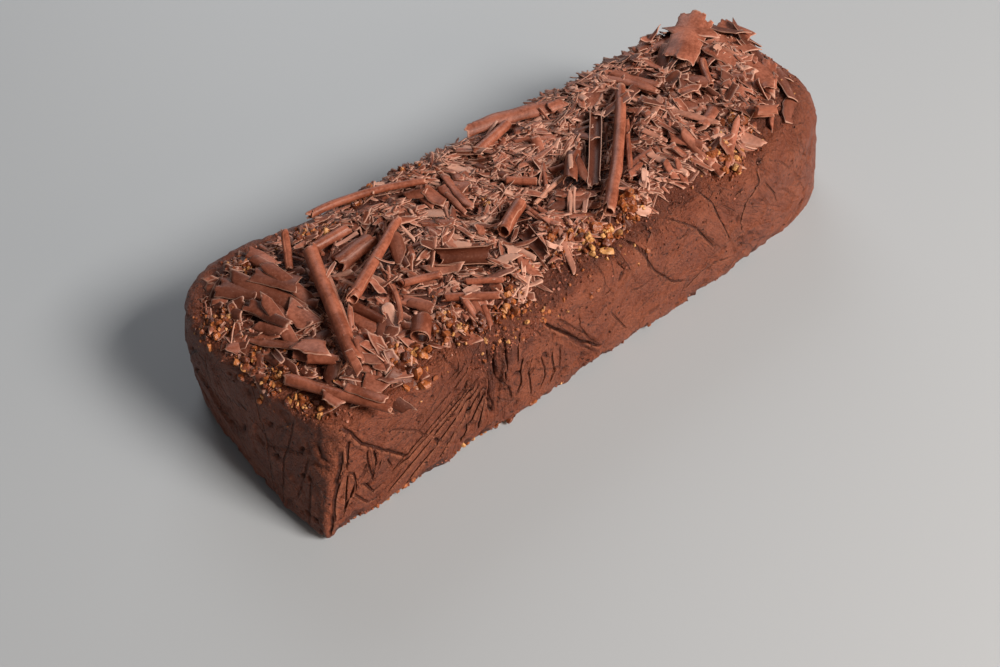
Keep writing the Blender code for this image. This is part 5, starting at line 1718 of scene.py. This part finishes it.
def end_part(x, _):
    """Broad flakes lie at the two ends, most of all at the near one, whatever their y."""
    return smooth((-x - 84 * MM) / (12 * MM)) + 0.7 * smooth((x - 52 * MM) / (14 * MM)) + 0.05


def coarse_part(x, y):
    """Larger flakes lie mostly towards the two ends."""
    front = smooth((y - np.interp(x, FRONT_X, FRONT_Y) - 3 * MM) / (8 * MM))
    return (0.3 + 0.7 * front) * (0.4 + 0.6 * smooth((abs(x) - 22 * MM) / (30 * MM)))


scatter(Kind("small_flakes", 460, (4, 10), (1.8, 4.4), (10, 80), 0.03, 0.2, 0.14, 0.4, 7, 7, 4),
        61, coarse_part, (0.0, 0.9))
scatter(Kind("fine_slivers", 1100, (3, 11), (0.6, 1.8), (5, 100), 0.03, 0.25, 0.14, 0.35, 7, 6, 3),
        62, fine_part, (0.0, 0.9))
rows, columns = cells(large_points[:, 0], large_points[:, 1])
np.maximum.at(ground, (rows, columns), large_points[:, 2])
covered[rows, columns] = True

# %% Plates seen plainly in the photograph
Plate = namedtuple("Plate", "x y heading length width shade curl lift roll",
                   defaults=(60, 1.2, 0))
PLATES = [Plate(*row) for row in (
    (-112, 15, -64, 30, 6.6, 0.35, 50, 0.5), (-104, 13, -73, 24, 4.8, 0.45, 60, 1.5, 25),
    (-118, 9, -74, 28, 3.7, 0.2, 40, 0.5, 20), (-115, 1, -92, 22, 4.7, 0.55, 70, 1.8, 10),
    (-121, -3, -57, 21, 3.5, 0.6, 50, 1.0, -10), (-119, 1, -67, 13, 3.7, 0.8, 60, 1.6, 10),
    (-112, -15, -51, 11, 8.2, 1.0, 25, 2.0), (-122, -12, -71, 13, 4.4, 0.25, 60, 0.8, 20),
    (-130, 9, -129, 12, 2.2, 0.7, 30, 1.0, 50), (-128, 2, -16, 5, 3.0, 0.45, 60, 0.8),
    (-106, 27, -77, 12, 3.6, 0.6, 60, 1.5, 20), (-108, -1, -82, 12, 8.0, 0.75, 30, 1.6),
    (-92, -15, -76, 14, 5.5, 0.5, 70, 0.8, -20), (-87, -20, -101, 16, 4.9, 0.15, 60, 0.8, 40),
    (-97, -20, -119, 6, 1.4, 0.6, 90, 1.0), (-95, -3, -109, 40, 3.6, 1.0, 30, 2.2, -12),
    (-106, -31, -101, 9, 3.1, 0.8, 70, 2.2, 10), (-102, -28, -107, 9, 1.8, 0.5, 90, 2.0),
    (-108, -40, -59, 15, 3.8, 0.75, 60, 2.0, 10), (-102, -36, -48, 8, 6.8, 0.55, 30, 0.6, -15),
    (-100, -44, -61, 12, 4.7, 0.05, 50, 0.5, 15), (-76, 20, 10, 11, 1.6, 0.9, 60, 1.6),
    (-77, 17, 12, 10, 1.4, 0.9, 60, 1.8), (-80, 16, -10, 10, 1.9, 0.8, 90, 1.4),
    (-65, 3, -114, 14, 6.2, 0.2, 80, 1.0, 10), (-62, 0, -118, 8, 2.3, 0.55, 90, 1.4),
    (-37, -23, -17, 9, 4.0, 1.0, 20, 2.4), (-56, -5, -132, 13, 2.8, 0.85, 60, 1.6, 30),
    (-46, -8, -46, 11, 3.7, 1.0, 15, 1.6), (-16, -32, -110, 19, 2.2, 0.85, 20, 1.6),
    (-33, -21, -38, 4, 4.4, 1.0, 10, 2.2), (-39, 17, -85, 11, 7.2, 0.5, 50),
    (-31, 13, -99, 22, 3.7, 0.75, 70, 2.0), (-28, 17, -85, 10, 6.7, 0.5, 40, 1.0),
    (-44, 22, -45, 9, 3.9, 0.5, 60, 1.5), (-43, 10, -44, 11, 3.9, 1.0, 20),
    (-46, 5, -43, 13, 4.3, 0.7, 70, 1.3), (-50, 3, -70, 7, 5.5, 0.45, 80, 1.3),
    (-67, -1, -104, 9, 4.7, 0.1, 90, 1.2, 20), (-62, -1, -113, 7, 2.4, 0.65, 90, 1.6),
    (-29, -25, -71, 8, 4.0, 0.95, 200, 1.8), (-32, -29, -85, 11, 5.1, 0.55, 60, 0.8),
    (-58, -34, -101, 10, 4.4, 0.35, 90, 0.8), (-56, -37, -110, 9, 2.5, 0.5, 120, 1.0),
    (-73, -21, -61, 10, 4.0, 0.35, 70, 0.8), (-72, -27, -24, 6, 1.9, 1.0, 20, 0.8),
    (-67, -39, -64, 8, 5.2, 0.45, 20, 0.2), (-14, -16, -71, 14, 2.6, 0.85, 50),
    (3, -14, -35, 16, 4.1, 0.2), (-1, -17, -31, 16, 3.6, 0.15, 60, 1.0),
    (-2, -17, -128, 10, 2.0, 0.9, 40, 2.0), (12, -8, -110, 13, 4.1, 0.2),
    (5, -13, -32, 18, 3.4, 0.35, 90, 0.8), (1, -18, -33, 18, 3.3, 0.25, 90, 0.8),
    (-1, -23, -28, 11, 2.9, 0.4, 90, 0.8), (1, -14, -31, 10, 2.2, 0.55, 90),
    (-1, -16, -131, 11, 0.8, 0.95, 60, 1.6), (0, -17, -131, 11, 0.8, 0.95, 60, 1.6),
    (-14, -16, -78, 14, 2.3, 0.7, 90), (-11, -17, -80, 14, 2.0, 0.5, 90, 1.4),
    (-35, 9, -93, 13, 2.3, 0.8, 80), (-22, 24, -53, 9, 4.6, 1.0, 60, 1.6),
    (-13, 16, -71, 14, 3.3, 0.15, 60, 1.0), (3, 9, 4, 19, 2.6, 0.8, 40, 1.4),
    (9, -4, -129, 8, 1.8, 0.95, 60, 1.8), (1, 1, -124, 12, 2.1, 0.5, 200, 1.6),
    (7, 1, -34, 7, 3.9, 0.55, 200), (9, 21, -41, 12, 3.3, 0.55, 80), (4, 19, -74, 8, 3.4, 0.65),
    (13, 26, -21, 11, 4.9, 0.75, 70), (30, 28, 1, 8, 4.7, 0.6), (16, 18, -92, 9, 4.1, 0.7),
    (15, 15, -44, 14, 2.4, 0.45, 80), (27, 8, -70, 11, 4.8, 0.15),
    (43, 29, -107, 14, 4.3, 1.0, 100, 1.6), (49, 26, 14, 15, 9.7, 0.3, 50, 1.0),
    (67, 26, -67, 30, 4.1, 0.35, 60, 0.8, 10), (63, 22, -68, 28, 3.7, 0.45, 60, 0.8, -10),
    (79, 25, -86, 20, 4.2, 0.5, 70), (83, 22, 39, 18, 6.4, 0.25, 30, 0.2, -15),
    (69, -10, -59, 22, 3.7, 0.85, 80, 1.6), (59, 2, 26, 14, 3.7, 0.85, 60, 1.6),
    (58, -8, -136, 13, 1.9, 0.6, 200, 1.6), (49, -9, -65, 11, 3.3, 0.85, 60, 1.6),
    (58, -23, -86, 19, 5.0, 0.8, 110, 1.6), (72, -29, -143, 26, 3.0, 0.7, 60, 1.5),
    (76, -4, -12, 15, 6.0, 0.25, 60, 0.6), (42, -18, -75, 8, 3.7, 0.9, 60, 1.4),
    (41, -26, -107, 10, 3.5, 0.75), (45, -28, -113, 11, 3.1, 0.6), (64, -21, -17, 8, 3.8, 0.5),
    (38, -14, 5, 14, 3.3, 0.4), (30, -18, 21, 12, 2.5, 0.7),
    (100, -14, -77, 15, 11.0, 0.4, 60, 0.8), (89, -12, -112, 18, 7.1, 0.3, 70, 0.8, 10),
    (112, 12, -75, 17, 17.0, 0.45, 50, 0.8, 10), (106, 8, -85, 14, 12.1, 0.55, 50, 0.8, -10),
    (117, 2, -140, 14, 3.6, 0.6, 60, 2.0, 20), (112, -8, -102, 16, 11.0, 0.45, 50, 0.5),
    # From the plate at x 121 on, the next six lie on the far end's rounding; their low shades are
    # partly their own tone and partly painted shade.
    (98, -27, -139, 14, 3.1, 0.5, 200, 0.8), (121, 4, 84, 24, 9.0, 0.12, 40, 0.2, 10),
    (118, -16, 62, 20, 8.0, 0.2, 40, 0.2, 14), (117, 22, 108, 22, 9.0, 0.15, 40, 0.2, 10),
    (125, -6, 80, 18, 6.0, 0.25, 40, 0.2, 20), (109, -27, 40, 16, 7.0, 0.25, 40, 0.2, 14),
    (124, 14, 98, 18, 6.0, 0.2, 40, 0.2, 20), (104, 26, -30, 20, 9.0, 0.5, 40, 0.5),
    (84, 6, -60, 16, 7.0, 0.4, 60, 0.8), (88, 32, -20, 18, 6.0, 0.5, 50, 0.6),
    (52, 36, -25, 16, 5.0, 0.5, 60, 0.6),
)]
PLATE_THICKNESS = 0.55


def lay_plates():
    """Rest each listed plate on what lies under it, a little lifted, and mark it as covered."""
    placed = []
    for item in PLATES:
        yaw, x, y = radians(item.heading), item.x * MM, item.y * MM
        length, width = item.length * MM, item.width * MM
        z, pitch, roll = settle(x, y, yaw, length, width, 0.0, radians(item.roll),
                                PLATE_THICKNESS * MM, cad_high[2] - 0.6 * MM)
        placed.append((x, y, z + 0.5 * item.lift * MM, yaw, pitch, roll, length, width))
        row, column, *_ = footprint(x, y, yaw, length, width)
        covered[row, column] = True
    kind = Kind("listed_plates", len(PLATES), (), (), (), 0.03, 0.12, 0.07, PLATE_THICKNESS,
                0, 16, 9)
    join_slabs(kind, np.array(placed), np.random.default_rng(66),
               np.array([item.shade for item in PLATES]), np.array([item.curl for item in PLATES]))


lay_plates()

# %% The upper layer
scatter(Kind("broad_flakes", 80, (8, 18), (3.0, 6.5), (15, 100), 0.04, 0.25, 0.08, 0.55, 13, 14, 8),
        65, end_part, (0.0, 1.0))
scatter(Kind("leaning_flakes", 430, (5, 14), (1.8, 4.4), (15, 110), 0.04, 0.3, 0.12, 0.45, 10, 9, 4),
        63, coarse_part, (0.0, 1.0))
scatter(Kind("upper_slivers", 1200, (3, 13), (0.6, 2.1), (5, 110), 0.04, 0.3, 0.14, 0.35, 8, 6, 3),
        64, fine_part, (0.1, 1.0))

# %% [markdown]
# ## Chopped nuts
# Caramelised nuts are chopped to uneven grains, so a nut is a coarse ball whose points
# are squashed and pulled about. They lie in loose clusters along the edges.

# %% Nuts in their clusters
NutCluster = namedtuple("NutCluster", "x y spread count size")
NUT_CLUSTERS = [NutCluster(*row) for row in (
    (-87, -37, 6, 14, 4.4), (-72, -32, 6, 12, 3.6), (-61, -38, 5, 8, 3.2), (-48, -36, 6, 12, 3.6),
    (-21, -27, 5, 10, 3.4), (-9, -29, 6, 9, 3.7), (2, -33, 6, 12, 4.0), (17, -28, 4, 14, 4.8),
    (66, -32, 8, 12, 4.0), (84, -22, 5, 7, 3.6), (-130, 18, 5, 34, 2.6), (-109, 32, 5, 24, 2.8),
    (-82, 32, 5, 24, 3.0), (-59, 38, 6, 24, 3.0), (-129, -2, 4, 16, 2.5), (-127, -14, 5, 30, 2.6),
    (-125, -25, 4, 20, 2.5), (-119, -33, 5, 9, 2.6), (-40, 40, 6, 6, 3.4), (-25, 3, 2, 1, 3.4),
    (119, -12, 5, 4, 3.2),
)]
EDGE_AT_MOST = 1.1          # an icosahedron's edge is 1.05 of its radius
FLAT_CUTS = 6               # on each grain
GRAIN_SHARE = 0.64          # of the listed size, which is measured across the uncut ball
CREASE = radians(32)        # sharper edges stay sharp


def ball_template(fine):
    """Points and faces of an icosahedron; `fine` splits each face in four."""
    golden = (1.0 + sqrt(5.0)) / 2.0
    corners = [p for a, b in itertools.product((-1, 1), (-golden, golden))
               for p in ((0, a, b), (a, b, 0), (b, 0, a))]
    corners = np.array(corners) / hypot(1.0, golden)
    joined = {(i, j) for i, j in itertools.combinations(range(12), 2)
              if np.linalg.norm(corners[i] - corners[j]) < EDGE_AT_MOST}
    faces = [t for t in itertools.combinations(range(12), 3)
             if joined.issuperset(itertools.combinations(t, 2))]
    points, index, split = list(corners), {}, []

    def middle(i, j):
        key = (min(i, j), max(i, j))
        if key not in index:
            index[key] = len(points)
            between = corners[i] + corners[j]
            points.append(between / np.linalg.norm(between))
        return index[key]

    for a, b, c in faces:
        if np.dot(np.cross(corners[b] - corners[a], corners[c] - corners[a]), corners[a]) < 0:
            b, c = c, b
        if not fine:
            split.append((a, b, c))
            continue
        ab, bc, ca = middle(a, b), middle(b, c), middle(c, a)
        split += [(a, ab, ca), (ab, b, bc), (ca, bc, c), (ab, bc, ca)]
    return np.array(points), np.array(split)


def chop(centres, sizes, shades, seed, name, look, slot, fine):
    """Many uneven grains in one piece: the ball's points scaled, pulled about and cut flat."""
    rng = np.random.default_rng(seed)
    ball, faces = ball_template(fine)
    n = len(centres)
    scale = np.stack([rng.uniform(0.8, 1.25, n), rng.uniform(0.7, 1.05, n),
                      rng.uniform(0.55, 0.95, n)], axis=1)
    pulled = ball[None] * (1.0 + rng.normal(0.0, 0.10, (n, len(ball), 1)))
    for _ in range(FLAT_CUTS):
        way = rng.normal(size=(n, 1, 3))
        way /= np.linalg.norm(way, axis=2, keepdims=True)
        height = (pulled * way).sum(axis=2, keepdims=True)
        cut = rng.uniform(0.42, 0.90, (n, 1, 1))
        pulled = pulled - way * np.maximum(height - cut, 0.0)
    pulled = pulled * scale[:, None] * GRAIN_SHARE * sizes[:, None, None]
    turn = rotations(*rng.uniform(0, 2 * pi, (3, n)))
    points = np.einsum("nij,npj->npi", turn, pulled) + centres[:, None]
    points = in_box(points, BOX_MARGIN)
    every = (faces[None] + np.arange(n)[:, None, None] * len(ball)).reshape(-1, 3)
    uv = (pulled.reshape(-1, 3)[every.ravel()])[:, :2] * UV_PER_METRE
    mesh = mesh_of(name, points.reshape(-1, 3), [every], uv, shade=np.repeat(shades, len(ball)),
                   edge=np.zeros(n * len(ball)))
    print(name, "faces:", len(mesh.polygons))
    piece(name, mesh, look, slot)
    mesh.set_sharp_from_angle(angle=CREASE)


# Each cluster has large nuts, twice as many bits and four times as many crumbs, with these
# shares of the listed size and spread.
NUT_PARTS = ((1.0, 1, 1.0), (0.55, 2, 1.3), (0.3, 4, 1.8))


def nut_places(seed):
    """Centres, sizes and shades of the nuts, off the large shavings and near the top."""
    rng = random.Random(seed)
    made = []
    for cluster in NUT_CLUSTERS:
        for share, number, wider in NUT_PARTS:
            for _ in range(number * cluster.count):
                x = (cluster.x + rng.gauss(0.0, 0.6) * cluster.spread * wider) * MM
                y = (cluster.y + rng.gauss(0.0, 0.45) * cluster.spread * wider) * MM
                across = cluster.size * share * rng.uniform(0.65, 1.0) * MM
                row, column = cells(np.array(x), np.array(y))
                if covered[row, column] or ground[row, column] < 0.8 * HEIGHT:
                    continue
                paler = 0.22 if cluster.x > -30 else 0.08
                made.append((x, y, ground[row, column] + 0.25 * across, across,
                             min(1.0, paler + 0.9 * rng.random() ** 1.2)))
    return np.array(made)


def wall_places(count, seed, x_range, z_range):
    """Seeded points of the loaf's own wall on the viewer's side, between two x and two heights."""
    rng = np.random.default_rng(seed)
    wall = loaf_surface.reshape(-1, 3)
    fits = ((wall[:, 1] < -0.6 * HALF_WIDTH) & (wall[:, 0] > x_range[0] * MM)
            & (wall[:, 0] < x_range[1] * MM) & (wall[:, 2] > z_range[0] * MM)
            & (wall[:, 2] < z_range[1] * MM))
    return wall[rng.choice(np.flatnonzero(fits), count)], rng


AT_FOOT, ON_SIDE = 34, 60       # loose nuts by the foot and on the side
nuts = nut_places(12)
at_foot, rng = wall_places(AT_FOOT, 14, (-128, 20), (0.5, 4.0))
on_side, rng = wall_places(ON_SIDE, 15, (-68, 26), (40, 53))
sizes = np.concatenate([rng.uniform(1.0, 2.6, AT_FOOT), rng.uniform(0.8, 2.0, ON_SIDE)]) * MM
stuck = np.concatenate([at_foot, on_side])
stuck[:, 2] = np.maximum(stuck[:, 2], 0.6 * sizes)
shades = rng.uniform(0.2, 1.0, AT_FOOT + ON_SIDE)
nuts = np.concatenate([nuts, np.column_stack([stuck, sizes, shades])])
chop(nuts[:, :3], nuts[:, 3], nuts[:, 4], 13, "chopped_nuts", NUT, "nut", True)

# %% [markdown]
# ## Crumbs
# Shaving chocolate leaves crumbs. They gather between the slivers and along the edge of
# the heap, and others stick to the loaf's side and foot.

# %% Chocolate crumbs
def crumb_places(count, seed):
    """Seeded crumbs on the heap and a little beyond its border, clear of the large shavings."""
    rng = np.random.default_rng(seed)
    x = rng.uniform(-136, 132, 3 * count) * MM
    y = rng.uniform(-45, 45, 3 * count) * MM
    row, column = cells(x, y)
    kept = on_heap(x, y, -2.5 * MM) & ~covered[row, column]
    x, y, row, column = x[kept][:count], y[kept][:count], row[kept][:count], column[kept][:count]
    size = rng.uniform(0.4, 1.3, len(x)) * MM
    centres = np.stack([x, y, ground[row, column] + 0.2 * size], axis=1)
    return centres, size, rng.uniform(0.2, 1.0, len(x))


centres, sizes, shades = crumb_places(1700, 71)
for count, seed, x_range, z_range in ((260, 73, (-70, -38), (38, 55)), (260, 74, (-40, 70), (43, 55)),
                                      (240, 75, (-130, 60), (0.3, 3.5)),
                                      (30, 76, (-128, -100), (44, 55))):
    stuck, rng = wall_places(count, seed, x_range, z_range)
    centres = np.concatenate([centres, stuck])
    sizes = np.concatenate([sizes, rng.uniform(0.4, 1.1, count) * MM])
    shades = np.concatenate([shades, rng.uniform(0.0, 0.7, count)])
centres[:, 2] = np.maximum(centres[:, 2], 0.6 * sizes)
chop(centres, sizes, shades, 72, "chocolate_crumbs", SHAVING, "shaving", False)

# %% Measure the visual box and finish
low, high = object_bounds()
sizes = {"cad": [cad_low.tolist(), cad_high.tolist()], "visual": [list(low), list(high)]}
print("visual box, mm:", np.round((np.array(high) - np.array(low)) / MM, 1))
